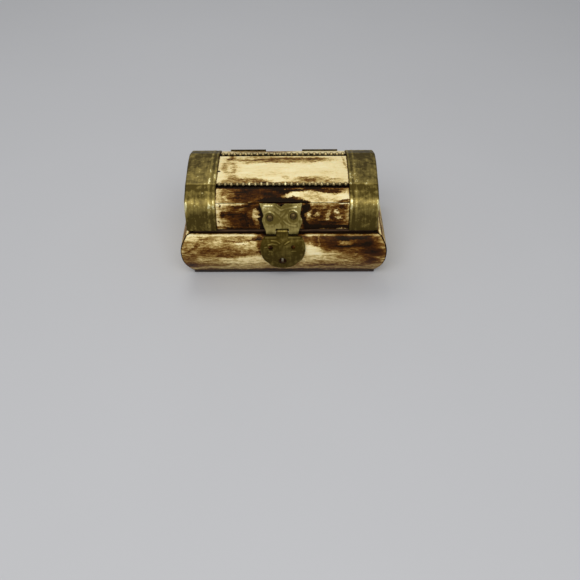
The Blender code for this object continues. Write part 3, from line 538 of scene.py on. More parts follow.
LID_END_PATCHES = {
    "lower edge": (0.0, 28.0, 30.0, 1.4, 0.40),
    "burn": (6.0, 35.0, 8.0, 4.0, 0.35),
}
BONE_FINISHES = (
    ("top_bone", ALONG_X_BY_Y, 0.10, TOP_PATCHES, 0.29, lid_wear_and_shade),
    ("upper_bone", ALONG_X_BY_Y, 0.22, UPPER_PATCHES, 0.34, lid_wear_and_shade),
    ("lower_bone", ALONG_X_BY_Z, 0.14, LOWER_PATCHES, 0.36, lid_wear_and_shade),
    ("front_bone", ALONG_X_BY_Z, 0.45, FRONT_PATCHES, 0.20, front_wear_and_shade),
    ("rear_bone", ALONG_X_BY_Z, 0.28, EDGE_PATCHES, 0.30, front_wear_and_shade),
    ("side_bone", ALONG_Y_BY_Z, 0.28, EDGE_PATCHES, 0.30, end_wear_and_shade),
    ("rear_lid_bone", ALONG_X_BY_Z, 0.20, REAR_PATCHES, 0.34, lid_wear_and_shade),
    ("lid_end_bone", ALONG_Y_BY_Z, 0.28, LID_END_PATCHES, 0.30, plain),
)
bones = {row[0]: burnt_bone(*row) for row in BONE_FINISHES}

# %% [markdown]
# The brass is antiqued: brown lacquer lies over the sheet, and where hands rub it,
# on the ridges and the edges, the yellow metal shows. Where the share runs highest, a
# pale glint is painted on as a highlight. It could be one flat metal with a stain over
# it. Here a share turns lacquer into bare metal, so that rubs, engraved grooves, dirt
# and painted light and shade only add to one number.

# %% Antique brass
LACQUER = as_light(84, 69, 22)
RUBBED = as_light(190, 168, 90)
# A painted highlight colour, for glints.
PAINTED_GLINT = as_light(244, 234, 176)
PAINTED_GLINT_FROM, PAINTED_GLINT_SHINE = (0.74, 1.02), 0.14
DULL_SHINE, COAT_SHINE = 0.58, 0.36
DRAWN = (1.0, 14.0, 14.0)
BROAD_BRASS, BROAD_EDGES, BROAD_SWING = (0.16, 2.0, 0.55), (0.35, 0.65), 0.2
BRASS_MOTTLE, MOTTLE_EDGES, MOTTLE_SWING = (0.45, 4.0, 0.55), (0.3, 0.7), 0.2
DRAWN_BRASS, DRAWN_SWING = (1.3, 3.0, 0.6), 0.12
STROKE_BENDS, STROKE_BEND, STROKE_CELLS = (0.5, 4.0, 0.55), 3.0, 0.36
STROKE_EDGES, STROKE_PLACES = (0.12, 0.0), (0.50, 0.64)
STROKE_RUB, STROKE_DEPTH = 0.35, 0.4


def chased_strokes(tree, place, mottle):
    """Short strokes along the edges of bent cells, where the mottle is high."""
    bends = cloud(tree, place, STROKE_BENDS, output="Color")
    inputs = {"Vector": shifted(tree, place, bends, STROKE_BEND), "Scale": STROKE_CELLS}
    cells = add(tree, "TexVoronoi", inputs, feature="DISTANCE_TO_EDGE").outputs["Distance"]
    return times(tree, between(tree, cells, *STROKE_EDGES), between(tree, mottle, *STROKE_PLACES))


def swung(tree, value, edges, swing, middle=0.0):
    """A noise turned into a swing to both sides of a middle."""
    return between(tree, value, *edges, middle - swing, middle + swing)


def antique_brass(name, lacquer, rubbed, start, contrast, relief, rubs_and_light=plain, coat=0.06, shine=0.48):
    """Lacquered sheet brass, rubbed bright in a mottle, with chased strokes and painted glints."""
    material, tree, shader = new_material(name)
    place = in_millimetres(tree)
    broad, mottle = cloud(tree, place, BROAD_BRASS), cloud(tree, place, BRASS_MOTTLE)
    drawn = cloud(tree, place, DRAWN_BRASS, DRAWN)
    stroke = chased_strokes(tree, place, mottle)
    share = swung(tree, broad, BROAD_EDGES, BROAD_SWING * contrast, start)
    mottled = swung(tree, mottle, MOTTLE_EDGES, MOTTLE_SWING * contrast)
    lined = swung(tree, drawn, MOTTLE_EDGES, DRAWN_SWING * contrast)
    struck = times(tree, stroke, STROKE_RUB * contrast)
    share = total(tree, share, mottled, lined, struck, rubs_and_light(tree, place))
    # the attribute holds engraved grooves, dirt, and painted light and shade
    groove = add(tree, "Attribute", attribute_name="groove").outputs["Fac"]
    share = calc(tree, "SUBTRACT", share, groove)
    # a painted glint where the share runs highest
    painted_glint = between(tree, share, *PAINTED_GLINT_FROM)
    rough = between(tree, share, 0.0, 1.0, DULL_SHINE, shine)
    height = total(tree, mottle, times(tree, stroke, STROKE_DEPTH), drawn)
    inputs = {
        "Base Color": mixed(tree, painted_glint, mixed(tree, share, lacquer, rubbed), PAINTED_GLINT),
        "Metallic": 1.0,
        "Coat Weight": coat,
        "Coat Roughness": COAT_SHINE,
        "Roughness": calc(tree, "SUBTRACT", rough, times(tree, painted_glint, PAINTED_GLINT_SHINE)),
        "Normal": bumped(tree, height, relief),
    }
    fill(tree, shader, inputs)
    print(name, "starts at a share of", start)
    return material


# %% [markdown]
# A band is rubbed in places of its own, and light and shade are painted on it. Its top
# turns lighter towards the front, a painted reflection. Its bends over the ridges are
# rubbed and carry a painted highlight, most by its end and its inner edge, and painted
# glints fleck its front half. The line that a roller pressed along its inner edge
# carries painted glints on its crest and edge, and dirt with painted shade in its
# groove. Painted shade darkens the foot of the fold below its top and its lower front.
# A mask could be painted, but the places follow from the shape. The rows give a middle
# and then a range of four, as for the wear on the bone.

# %% Where hands rub the bands, and their painted light and shade
# The top lightens towards the front: a painted reflection.
BAND_TOP, BAND_FORWARD_REFLECTION = (13.6, 12.8), (9.0, -12.0, -0.12, 0.20)
BAND_BEND, BAND_BEND_REACH = 22.4, (3.4, 0.6)
# Rubbed bends with a painted highlight, most by the end and the inner edge.
BAND_END_RUB_AND_GLINT = (BAND_END / MM - 1.8, BAND_END / MM - 0.6, 0.0, 0.6)
BAND_INNER_RUB_AND_GLINT = (35.4, 34.2, 0.18, 0.52)
# Flecks of painted glint on the front half.
BAND_FLECKS, FLECK_GLINT, FLECKS_FORWARD = (0.95, 3.0, 0.7), (0.62, 0.74, 0.0, 0.55), (2.0, -9.0)
# The lower front is darker: painted shade.
BAND_LOW_SHADE = (38.0, 35.0, 0.0, -0.24)
# A painted highlight on the fold at the top's front edge, painted shade below it.
FOLD_HIGHLIGHT_AND_SHADE = ((12.9, 0.7, 0.2, 0.0, 0.20), (15.0, 2.2, 1.0, 0.0, -0.24))
# The rolled lines: painted glints on crest and edge, dirt and painted shade in the groove.
ROLLED_GLINTS_AND_SHADE = (
    (3.2, 0.8, 0.16, 0.0, 0.30),
    (1.8, 0.8, 0.16, 0.0, -0.24),
    (0.8, 0.5, 0.10, 0.0, 0.20),
)


def strips(tree, value, rows):
    """Strips along a value, each round its own middle."""
    return [between(tree, apart(tree, value, middle), *edges) for middle, *edges in rows]


def band_rubs_and_light(tree, place):
    """Hands rub a band's ridges and edges, with painted highlights, glints and shade."""
    parts = parts_of(tree, place)
    depth = apart(tree, parts[1], 0.0)
    along = apart(tree, parts[0], LID_SIDE_SHIFT / MM)
    top = times(tree, between(tree, depth, *BAND_TOP), between(tree, parts[1], *BAND_FORWARD_REFLECTION))
    ends = [between(tree, along, *edges) for edges in (BAND_END_RUB_AND_GLINT, BAND_INNER_RUB_AND_GLINT)]
    bend = between(tree, apart(tree, depth, BAND_BEND), *BAND_BEND_REACH)
    bend = times(tree, bend, total(tree, *ends))
    flecks = between(tree, cloud(tree, place, BAND_FLECKS), *FLECK_GLINT)
    flecks = times(tree, flecks, between(tree, parts[1], *FLECKS_FORWARD))
    from_middle = apart(tree, parts[0], BEADS_MIDDLE / MM)
    from_edge = calc(tree, "SUBTRACT", from_middle, BEADS_REACH / MM)
    lines = strips(tree, depth, FOLD_HIGHLIGHT_AND_SHADE) + strips(tree, from_edge, ROLLED_GLINTS_AND_SHADE)
    return total(tree, top, bend, flecks, *lines, between(tree, parts[2], *BAND_LOW_SHADE))


PALE_BRASS = as_light(100, 86, 38), as_light(176, 160, 98)
LEAF_BRASS = as_light(78, 63, 18), RUBBED
BEAD_BRASS = as_light(62, 49, 20), as_light(214, 192, 136)
HINGE_BRASS = as_light(52, 40, 20), as_light(110, 92, 48)
band_brass = antique_brass("band_brass", LACQUER, RUBBED, 0.19, 0.8, 0.3, band_rubs_and_light, 0.18, 0.56)
plate_brass = antique_brass("plate_brass", *PALE_BRASS, 0.25, 0.8, 0.2)
leaf_brass = antique_brass("leaf_brass", *LEAF_BRASS, 0.06, 0.4, 0.15)
bead_brass = antique_brass("bead_brass", *BEAD_BRASS, 0.50, 0.6, 0.15, shine=0.38)
hinge_brass = antique_brass("hinge_brass", *HINGE_BRASS, 0.20, 0.6, 0.2)

# %% [markdown]
# The nails are dull brown brass and the tacks bright. The boards are stained
# softwood, and the linings are velvet, whose pile turns pale at a low angle. Each
# could be a colour alone, but near the lens that looks like plastic, so one noise
# turns a dark tone into a light one and also makes the relief.

# %% Nails, wood, velvet and felt
SKIN_NOISE, SKIN_SHADE, SKIN_SHINE, SKIN_RELIEF = (2.2, 5.0, 0.55), 0.45, (0.1, -0.06), 0.25
WOOD_NOISE, WOOD_SHINE, WOOD_RELIEF = (1.8, 5.0, 0.6), (0.58, 0.75), 0.4
CRUSH_NOISE, CRUSH_SHARE = (0.35, 3.0, 0.55), 0.6
PILE_NOISE, PILE_EDGES, PILE_RELIEF = (6.0, 3.0, 0.7), (0.38, 0.62), 0.6
WOOD_GRAIN, NAIL_METAL, CLOTH_ROUGHNESS = 9, 0.85, 0.9


def plain_metal(name, colour, roughness):
    """A dull nail or pin, with a darker skin in its hollows."""
    material, tree, shader = new_material(name)
    skin = cloud(tree, in_millimetres(tree), SKIN_NOISE)
    dark = (*(SKIN_SHADE * value for value in colour[:3]), 1)
    shine = [roughness + change for change in SKIN_SHINE]
    inputs = {
        "Base Color": mixed(tree, between(tree, skin, *BROAD_EDGES), dark, colour),
        "Metallic": NAIL_METAL,
        "Roughness": between(tree, skin, *MOTTLE_EDGES, *shine),
        "Normal": bumped(tree, skin, SKIN_RELIEF),
    }
    fill(tree, shader, inputs)
    return material


def bare_wood(name, dark, light, axis):
    """Stained softwood, with growth lines drawn out along the board."""
    material, tree, shader = new_material(name)
    lines = cloud(tree, in_millimetres(tree), WOOD_NOISE, drawn_out(axis, WOOD_GRAIN))
    inputs = {
        "Base Color": mixed(tree, between(tree, lines, *BROAD_EDGES), dark, light),
        "Roughness": between(tree, lines, *MOTTLE_EDGES, *WOOD_SHINE),
        "Normal": bumped(tree, lines, WOOD_RELIEF),
    }
    fill(tree, shader, inputs)
    return material


def pile_cloth(name, deep, lit, sheen):
    """Velvet or felt: a fine pile that turns pale at a low angle."""
    material, tree, shader = new_material(name)
    place = in_millimetres(tree)
    crush, pile = cloud(tree, place, CRUSH_NOISE), cloud(tree, place, PILE_NOISE)
    share = total(tree, times(tree, crush, CRUSH_SHARE), times(tree, pile, 1 - CRUSH_SHARE))
    inputs = {
        "Base Color": mixed(tree, between(tree, share, *PILE_EDGES), deep, lit),
        "Roughness": CLOTH_ROUGHNESS,
        "Sheen Weight": sheen,
        "Sheen Roughness": 0.5,
        "Sheen Tint": lit,
        "Normal": bumped(tree, pile, PILE_RELIEF),
    }
    fill(tree, shader, inputs)
    return material


nail_metal = plain_metal("nail_metal", as_light(92, 74, 38), 0.40)
tack_brass = plain_metal("tack_brass", as_light(206, 188, 120), 0.30)
pin_metal = plain_metal("pin_metal", as_light(168, 156, 128), 0.34)
BOARD_TONES = as_light(52, 34, 20), as_light(92, 64, 38)
long_wood = bare_wood("long_wood", *BOARD_TONES, 0)
cross_wood = bare_wood("cross_wood", *BOARD_TONES, 1)
# darker than the other boards: a painted shade under the box
base_wood_shaded = bare_wood("base_wood_shaded", as_light(20, 13, 8), as_light(56, 38, 22), 0)
red_velvet = pile_cloth("red_velvet", as_light(88, 9, 19), as_light(118, 16, 29), 1.0)
black_felt = pile_cloth("black_felt", as_light(14, 14, 14), as_light(34, 34, 34), 0.2)
print("materials:", len(bpy.data.materials))

# %% [markdown]
# Every piece ends the same way: its faces point outwards, its flat parts shade flat
# and its curves smooth, it rides on a body, and it takes its material.
# This could be repeated for each piece, but one function can't forget a step. The
# object stays at the origin, so its material's coordinates are the box's.

# %% Ending a piece
SAME_PLACE = MM / 1000
SAME_PLANE = math.radians(1)


def finished(name, mesh, material, body, slot, stands_for=(), crease=35):
    """Ends a bmesh as a piece that rides on a body."""
    bmesh.ops.recalc_face_normals(mesh, faces=mesh.faces)
    data = bpy.data.meshes.new(name)
    mesh.to_mesh(data)
    mesh.free()
    data.shade_smooth()
    data.set_sharp_from_angle(angle=math.radians(crease))
    data.materials.append(material)
    piece = bpy.data.objects.new(name, data)
    scene.collection.objects.link(piece)
    if stands_for:
        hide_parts(*stands_for)
    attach(piece, body)
    print(name, len(data.polygons), "faces")
    return piece


def new_verts(made):
    """The vertices that an operator made."""
    return [item for item in made["geom"] if isinstance(item, bmesh.types.BMVert)]


def eased(mesh, width, least=30, segments=3):
    """Rounds the edges that are sharper than an angle."""
    edges = [edge for edge in mesh.edges if edge.calc_face_angle(0) > math.radians(least)]
    bmesh.ops.bevel(
        mesh,
        geom=edges,
        offset=width,
        segments=segments,
        profile=0.5,
        affect="EDGES",
        material=-1,
        clamp_overlap=True,
    )


def eased_copy(name, node, width, *ending, least=30, segments=3, crease=35):
    """A copy of a CAD node, merged into flat faces, with its sharp edges rounded."""
    mesh = bmesh.new()
    mesh.from_mesh(frame["nodes"][node].data)
    bmesh.ops.remove_doubles(mesh, verts=mesh.verts, dist=SAME_PLACE)
    parts = {"verts": mesh.verts, "edges": mesh.edges}
    bmesh.ops.dissolve_limit(mesh, angle_limit=SAME_PLANE, **parts)
    eased(mesh, width, least, segments)
    return finished(name, mesh, *ending, [node], crease)


def carve(piece, cutter_mesh):
    """Cuts a shape out of a piece, and keeps the result as its mesh."""
    data = bpy.data.meshes.new("cutter")
    bmesh.ops.recalc_face_normals(cutter_mesh, faces=cutter_mesh.faces)
    cutter_mesh.to_mesh(data)
    cutter_mesh.free()
    cutter = bpy.data.objects.new("cutter", data)
    scene.collection.objects.link(cutter)
    boolean = piece.modifiers.new("cut", "BOOLEAN")
    boolean.operation = "DIFFERENCE"
    boolean.object = cutter
    bpy.context.view_layer.update()
    ready = piece.evaluated_get(bpy.context.evaluated_depsgraph_get())
    kept = bpy.data.meshes.new_from_object(ready)
    piece.modifiers.clear()
    piece.data = kept
    bpy.data.objects.remove(cutter, do_unlink=True)


# %% [markdown]
# The body's bone swells outwards and is fullest above its middle. The panels could
# be copied from the CAD model, but its curve is coarse up close. So one section is
# drawn at each end, where every point stands on the diagonal that the maker's mitre
# saw would follow, and the two are joined. A long blank could be cut with a plane
# instead, but the cut's points come in another order each run, and the easing of the
# sharp edges, which follows, then rounds the corners a little differently.

# %% The body's bone panels
BONE_FOOT = 2.5 * MM
FULLEST_HEIGHT = 16.3 * MM
SWELL, UNDERCUT = 3.5 * MM, 0.7 * MM
UPPER_CURVE_POWER, LOWER_CURVE_POWER = 2.7, 2.0
BODY_BONE_THICKNESS = 3.0 * MM
MITRE_SETBACK = 0.16 * MM
PANEL_EASE = 0.35 * MM
PANEL_STEPS = 28


def swell_at(height):
    """How far the bone stands out past the rim at a height."""
    if height > FULLEST_HEIGHT:
        share = (height - FULLEST_HEIGHT) / (RIM_HEIGHT - FULLEST_HEIGHT)
        return SWELL * (1 - share**UPPER_CURVE_POWER)
    share = (FULLEST_HEIGHT - height) / (FULLEST_HEIGHT - BONE_FOOT)
    return SWELL - (SWELL + UNDERCUT) * share**LOWER_CURVE_POWER


def bone_panel(side_name, half_length, half_depth, turn, material):
    """A swelling panel with mitred ends, turned to its side of the box."""
    mesh = bmesh.new()
    step = (RIM_HEIGHT - BONE_FOOT) / PANEL_STEPS
    heights = [BONE_FOOT + step * count for count in range(PANEL_STEPS + 1)]
    section = [(-half_depth - swell_at(height), height) for height in heights]
    back = BODY_BONE_THICKNESS - half_depth
    section += [(back, RIM_HEIGHT), (back, BONE_FOOT)]
    corner = half_length - MITRE_SETBACK - half_depth
    left, right = (
        [mesh.verts.new((side * (corner - y), y, z)) for y, z in section]
        for side in (-1, 1)
    )
    mesh.faces.new(left)
    mesh.faces.new(reversed(right))
    for index, start in enumerate(left):
        before = index - 1
        mesh.faces.new((start, left[before], right[before], right[index]))
    # new faces have no normals yet, and the easing picks its edges by them
    mesh.normal_update()
    eased(mesh, PANEL_EASE, 40)
    bmesh.ops.transform(mesh, matrix=Matrix.Rotation(turn, 4, "Z"), verts=mesh.verts)
    name, node = side_name + "_bone", side_name + "_bone_panel"
    return finished(name, mesh, material, "box_body", "bone", [node])


HALF_X, HALF_Y = RIM_LENGTH / 2, RIM_DEPTH / 2
QUARTER = math.pi / 2
front_panel = bone_panel("front", HALF_X, HALF_Y, 0, bones["front_bone"])
bone_panel("right", HALF_Y, HALF_X, QUARTER, bones["side_bone"])
bone_panel("rear", HALF_X, HALF_Y, math.pi, bones["rear_bone"])
bone_panel("left", HALF_Y, HALF_X, -QUARTER, bones["side_bone"])

# %% [markdown]
# The lid's bone slabs are flat plates, sawn to fit each other. They could be drawn
# anew like the panels, but they are already right in the CAD model, apart from their
# edges. So each is a merged copy of its node with its edges rounded.

# %% The lid's bone slabs
SLABS = {
    "lid_top": "top_bone",
    "lid_front_upper": "upper_bone",
    "lid_front_lower": "lower_bone",
    "lid_rear_upper": "rear_lid_bone",
    "lid_rear_lower": "rear_lid_bone",
    "lid_left_end": "lid_end_bone",
    "lid_right_end": "lid_end_bone",
}
SLAB_EASE = 0.14 * MM
for part, bone in SLABS.items():
    eased_copy(part + "_slab", part + "_bone", SLAB_EASE, bones[bone], "lid", "bone")

# %% [markdown]
# Sheet brass follows what it is folded over. It could be a bent copy of a flat
# sheet, but here it is a grid whose rows and columns are laid on the folded shape,
# and Solidify's operator then gives it a thickness. The lid's outline comes first:
# the rail of the CAD model, which can be moved outwards and have its corners rounded.

# %% The lid's rail
TOP_RISE, TOP_CROWN = 17.5 * MM, 0.5 * MM
CROWN_STEPS = 4
FOLD_STEPS = 6
TOP_BEND_RADIUS = 0.9 * MM
LEAST_RADIUS = 0.15 * MM


def lid_rail():
    """The bone's outer line over the lid, from the front foot to the rear foot."""
    rail = [(-LID_FOOT_HALF_DEPTH, LID_FOOT), (-RIDGE_HALF_DEPTH, LID_FOOT + RIDGE_RISE)]
    for count in range(CROWN_STEPS + 1):
        across = 2 * count / CROWN_STEPS - 1
        height = LID_FOOT + TOP_RISE + TOP_CROWN * (1 - across**2)
        rail.append((across * TOP_HALF_DEPTH, height))
    rail += [(RIDGE_HALF_DEPTH, LID_FOOT + RIDGE_RISE), (LID_FOOT_HALF_DEPTH, LID_FOOT)]
    return [Vector(point) for point in rail]


def offset_path(path, distance, level_ends=False):
    """A path moved to its left with mitred corners. Level ends keep their height."""
    points = [Vector(point) for point in path]
    runs = [(end - start).normalized() for start, end in zip(points, points[1:])]
    normals = [Vector((-along.y, along.x)) for along in runs]
    moved = []
    for index, point in enumerate(points):
        before, after = normals[max(index - 1, 0)], normals[min(index, len(normals) - 1)]
        mitre = (before + after) / (1 + before.dot(after))
        if level_ends and index in (0, len(points) - 1):
            mitre = Vector((1 / after.x, 0))
        moved.append(point + mitre * distance)
    return moved


def rounded_corner(before, corner, after, radius):
    """The points of an arc in place of a corner."""
    back, on = (before - corner).normalized(), (after - corner).normalized()
    half = back.angle(on) / 2
    centre = corner + (back + on).normalized() * radius / math.sin(half)
    start, end = (corner + side * radius / math.tan(half) - centre for side in (back, on))
    turn = end.angle_signed(start)
    turns = [Matrix.Rotation(turn * count / FOLD_STEPS, 2) for count in range(FOLD_STEPS + 1)]
    return [centre + spin @ start for spin in turns]


def folded_line(out, radius, run_counts):
    """The lid's line at a distance out from the bone, with rounded folds."""
    corners = offset_path(lid_rail(), out, level_ends=True)
    last = len(corners) - 1
    bends = {1: radius, 2: TOP_BEND_RADIUS, last - 2: TOP_BEND_RADIUS, last - 1: radius}
    line = [corners[0]]
    for index in range(1, len(corners)):
        arc = [corners[index]]
        if index in bends:
            size = max(bends[index] + out, LEAST_RADIUS)
            arc = rounded_corner(*corners[index - 1 : index + 2], size)
        start, count = line[-1], run_counts[index - 1]
        line += [start.lerp(arc[0], step / count) for step in range(1, count)]
        line += arc
    return line


print("rail points:", len(lid_rail()))

# %% [markdown]
# Each band wraps the lid's end from front to rear and folds over the end as a lip.
# It could be the CAD model's plain fold, but real ones are pressed on by hand: the
# ridges show through as soft bends, the end bulges over the rear half, a roller has
# left a line by the inner edge, and the chasing dents the rest.

# %% The brass bands
BAND_LIP = 3.0 * MM
BAND_THICKNESS, BAND_STANDOFF = 0.4 * MM, 0.3 * MM
BAND_OUTSIDE = BAND_STANDOFF + BAND_THICKNESS
RIDGE_RADIUS, LIP_RADIUS = 5.3 * MM, 1.0 * MM
CELL = 0.45 * MM
BAND_COLUMNS, LIP_BEND_STEPS, LIP_COLUMNS = 44, 5, 7
BAND_SOLID_SHARE = 0.9
CHASING_DEPTH, LONG_SHARE = 0.07 * MM, 0.6
LONG_CHASING, SHORT_CHASING = Vector((420, 900, 900)), 1400
LINE_PLACE, LINE_HEIGHT = 3.2 * MM, 0.10 * MM
GROOVE_PLACE, GROOVE_DEPTH = 1.8 * MM, 0.07 * MM
LINE_HALF_WIDTH = 0.5 * MM
END_BULGE = 0.7 * MM
BULGE_ALONG, BULGE_BACK, BULGE_UP = (30 * MM, 45 * MM), (-14 * MM, 10 * MM), (34 * MM, 42 * MM)


def band_section(width):
    """Across a band: pairs of (distance from the lid's middle, distance out)."""
    inner_edge, flat_end = BAND_END - width, BAND_END - LIP_RADIUS
    step = (flat_end - inner_edge) / BAND_COLUMNS
    pairs = [(inner_edge + step * count, BAND_OUTSIDE) for count in range(BAND_COLUMNS + 1)]
    lip_start = BAND_OUTSIDE - LIP_RADIUS
    for count in range(1, LIP_BEND_STEPS + 1):
        angle = QUARTER * count / LIP_BEND_STEPS
        x = flat_end + LIP_RADIUS * math.sin(angle)
        pairs.append((x, lip_start + LIP_RADIUS * math.cos(angle)))
    step = (lip_start + BAND_LIP) / LIP_COLUMNS
    return pairs + [(BAND_END, lip_start - step * count) for count in range(1, LIP_COLUMNS + 1)]


def bell(distance, width):
    """1 at no distance, and almost 0 past twice the width."""
    return math.exp(-((distance / width) ** 2))


def pressed_out(point):
    """How far the chasing and the rolled line move the band out at a point."""
    long, short = noise.noise(point * LONG_CHASING), noise.noise(point * SHORT_CHASING)
    wave = long * LONG_SHARE + short * (1 - LONG_SHARE)
    from_edge = abs(point.x - BEADS_MIDDLE) - BEADS_REACH
    raised = LINE_HEIGHT * bell(from_edge - LINE_PLACE, LINE_HALF_WIDTH)
    pressed = GROOVE_DEPTH * bell(from_edge - GROOVE_PLACE, LINE_HALF_WIDTH)
    return CHASING_DEPTH * wave + raised - pressed


def share_of(value, low, high):
    """The value's place between low and high, from 0 to 1."""
    return min(1, max(0, (value - low) / (high - low)))


def end_bulge(x, out, y, z):
    """How far the band's end stands out over the lid's rear half."""
    shares = [share_of(y, *BULGE_BACK), share_of(z, *BULGE_UP)]
    back, up = (share * share * (3 - 2 * share) for share in shares)
    return END_BULGE * share_of(x, *BULGE_ALONG) * share_of(out, -BAND_LIP, 0) * back * up


def band_grid(side):
    """A grid laid over the lid's end."""
    rail = lid_rail()
    run_counts = [max(1, round((b - a).length / CELL)) for a, b in zip(rail, rail[1:])]
    section = band_section(BAND_WIDTHS[side])
    lines = [folded_line(out, RIDGE_RADIUS, run_counts) for _, out in section]
    columns, rows = len(section), len(lines[0])
    mesh = bmesh.new()
    bmesh.ops.create_grid(mesh, x_segments=columns - 1, y_segments=rows - 1, size=1)
    for vert in mesh.verts:
        column = round((vert.co.x + 1) / 2 * (columns - 1))
        spot = lines[column][round((vert.co.y + 1) / 2 * (rows - 1))]
        reach = section[column][0] + end_bulge(*section[column], *spot)
        vert.co = Vector((LID_SIDE_SHIFT + side * reach, *spot))
    return mesh


def brass_band(side_name, side):
    """The grid, with its chasing and its thickness."""
    mesh = band_grid(side)
    bmesh.ops.recalc_face_normals(mesh, faces=mesh.faces)
    mesh.faces.ensure_lookup_table()
    if mesh.faces[len(mesh.faces) // 2].normal.z < 0:
        bmesh.ops.reverse_faces(mesh, faces=mesh.faces)
    mesh.normal_update()
    for vert in mesh.verts:
        if abs(vert.co.x - LID_SIDE_SHIFT) < BAND_END - LIP_RADIUS:
            vert.co += vert.normal * pressed_out(vert.co)
    bmesh.ops.solidify(mesh, geom=mesh.faces, thickness=BAND_THICKNESS * BAND_SOLID_SHARE)
    name, node = side_name + "_end_band", side_name + "_brass_band"
    finished(name, mesh, band_brass, "lid", "dark_brass", [node], crease=50)


for side_name, side in (("left", -1), ("right", 1)):
    brass_band(side_name, side)

# %% [markdown]
# A beaded wire is a round wire that rollers have pinched into beads. It could be a
# row of loose balls, but a wire has thin necks between its beads. So its profile is
# a row of arcs, spun round the wire's own axis and laid in the groove. Dirt and painted
# shade lie between the beads and under them, and their tops carry a painted highlight.

# %% The bead wires
BEAD_RADIUS, BEAD_NECK_RADIUS = 0.98 * MM, 0.42 * MM
BEAD_PITCH, BEAD_RISE = 2.92 * MM, 0.15 * MM
BEAD_COUNT, BEAD_ARC_STEPS, BEAD_SIDES = 22, 8, 14
NECK_DIRT_AND_SHADE, BEAD_TOP_HIGHLIGHT = 0.40, 0.18


def spun(mesh, profile, sides, place):
    """Spins (height, radius) pairs round Z, closes the ends and puts them in place."""
    verts = [mesh.verts.new((radius, 0, height)) for height, radius in profile]
    edges = [mesh.edges.new(pair) for pair in zip(verts, verts[1:])]
    turn = {"cent": (0, 0, 0), "axis": (0, 0, 1), "angle": math.tau}
    bmesh.ops.spin(mesh, geom=verts + edges, steps=sides, use_merge=True, **turn)
    new = [vert for vert in mesh.verts if not vert.tag]
    bmesh.ops.remove_doubles(mesh, verts=new, dist=SAME_PLACE)
    new = [vert for vert in mesh.verts if not vert.tag]
    ends = {edge for vert in new for edge in vert.link_edges if edge.is_boundary}
    bmesh.ops.holes_fill(mesh, edges=list(ends))
    bmesh.ops.transform(mesh, matrix=place, verts=new)
    for vert in mesh.verts:
        vert.tag = True


def bead_middle(bead):
    """How far a bead's middle is from the wire's middle."""
    return (bead - (BEAD_COUNT - 1) / 2) * BEAD_PITCH


def bead_profile():
    neck = math.asin(BEAD_NECK_RADIUS / BEAD_RADIUS)
    step = (math.pi - 2 * neck) / BEAD_ARC_STEPS
    arc = [neck + step * count for count in range(BEAD_ARC_STEPS + 1)]
    middles = [bead_middle(bead) for bead in range(BEAD_COUNT)]
    spots = [(middle, angle) for middle in middles for angle in arc]
    return [(x - BEAD_RADIUS * math.cos(a), BEAD_RADIUS * math.sin(a)) for x, a in spots]


def shaded_necks_lit_tops(mesh, height):
    """Marks dirt and painted shade between the beads and under them, and a painted highlight on
    their tops.
    """
    layer = mesh.verts.layers.float.new("groove")
    for vert in mesh.verts:
        x = vert.co.x - BEADS_MIDDLE
        nearest = bead_middle(round(x / BEAD_PITCH + (BEAD_COUNT - 1) / 2))
        off, top = (x - nearest) / BEAD_RADIUS, (vert.co.z - height) / BEAD_RADIUS
        # dirt and painted shade between and under the beads, a painted highlight on their tops
        vert[layer] = NECK_DIRT_AND_SHADE * off**2 - BEAD_TOP_HIGHLIGHT * top


lying = Matrix.Rotation(QUARTER, 4, "Y")
bead_line = offset_path(lid_rail(), BEAD_RISE, level_ends=True)
for name, corner in (("front_bead_wire", 2), ("rear_bead_wire", 2 + CROWN_STEPS)):
    mesh = bmesh.new()
    place = Matrix.Translation((BEADS_MIDDLE, *bead_line[corner])) @ lying
    spun(mesh, bead_profile(), BEAD_SIDES, place)
    shaded_necks_lit_tops(mesh, bead_line[corner].y)
    finished(name + "_round", mesh, bead_brass, "lid", "dark_brass", [name], crease=60)

# %% [markdown]
# The hasp's plate and leaf, and the rear hinges' leaves, are one kind of thing: flat
# sheet cut to an outline, whose end is rolled round a pin. Each could be cut and bent
# for itself, but one set of functions makes all six. First come the lines that the
# middle of a sheet follows: down from the lid's ridge and under the pin, or up the
# bone and over the pin.

# %% The lines of rolled sheets
AXIS_HALF_DEPTH, AXIS_HEIGHT = 29.0 * MM, 28.6 * MM
AXIS = Vector((-AXIS_HALF_DEPTH, AXIS_HEIGHT))
SHEET, SHEET_GAP, SHEET_SOLID_SHARE = 0.6 * MM, 0.32 * MM, 0.97
EDGE_ROUNDING = 0.12 * MM
ROLL_RADIUS, ROLL_SWEEP, ROLL_STEPS = 1.05 * MM, math.radians(250), 26
CLEARANCE = 0.3 * MM
KNUCKLE_ROOM = ROLL_RADIUS + SHEET / 2 + CLEARANCE
NOTCH_TOP = AXIS_HEIGHT + KNUCKLE_ROOM + CLEARANCE
PLATE_RISE = -0.05 * MM
LEAF_STANDOFF, LEAF_LEAVES_BONE, LEAF_START = 0.5 * MM, 1.5 * MM, 0.01 * MM
LEAF_CURVE_STEPS = 8


def around_pin(start, sweep):
    """The middle of a sheet that is rolled round the pin."""
    turns = [start + sweep * count / ROLL_STEPS for count in range(ROLL_STEPS + 1)]
    return [AXIS + ROLL_RADIUS * Vector((math.cos(turn), math.sin(turn))) for turn in turns]


def spaced(line, gap):
    """The line with extra points, so that none is further than a gap apart."""
    points = [line[0]]
    for start, end in zip(line, line[1:]):
        count = max(1, math.ceil((end - start).length / gap))
        points += [start.lerp(end, step / count) for step in range(1, count + 1)]
    return points


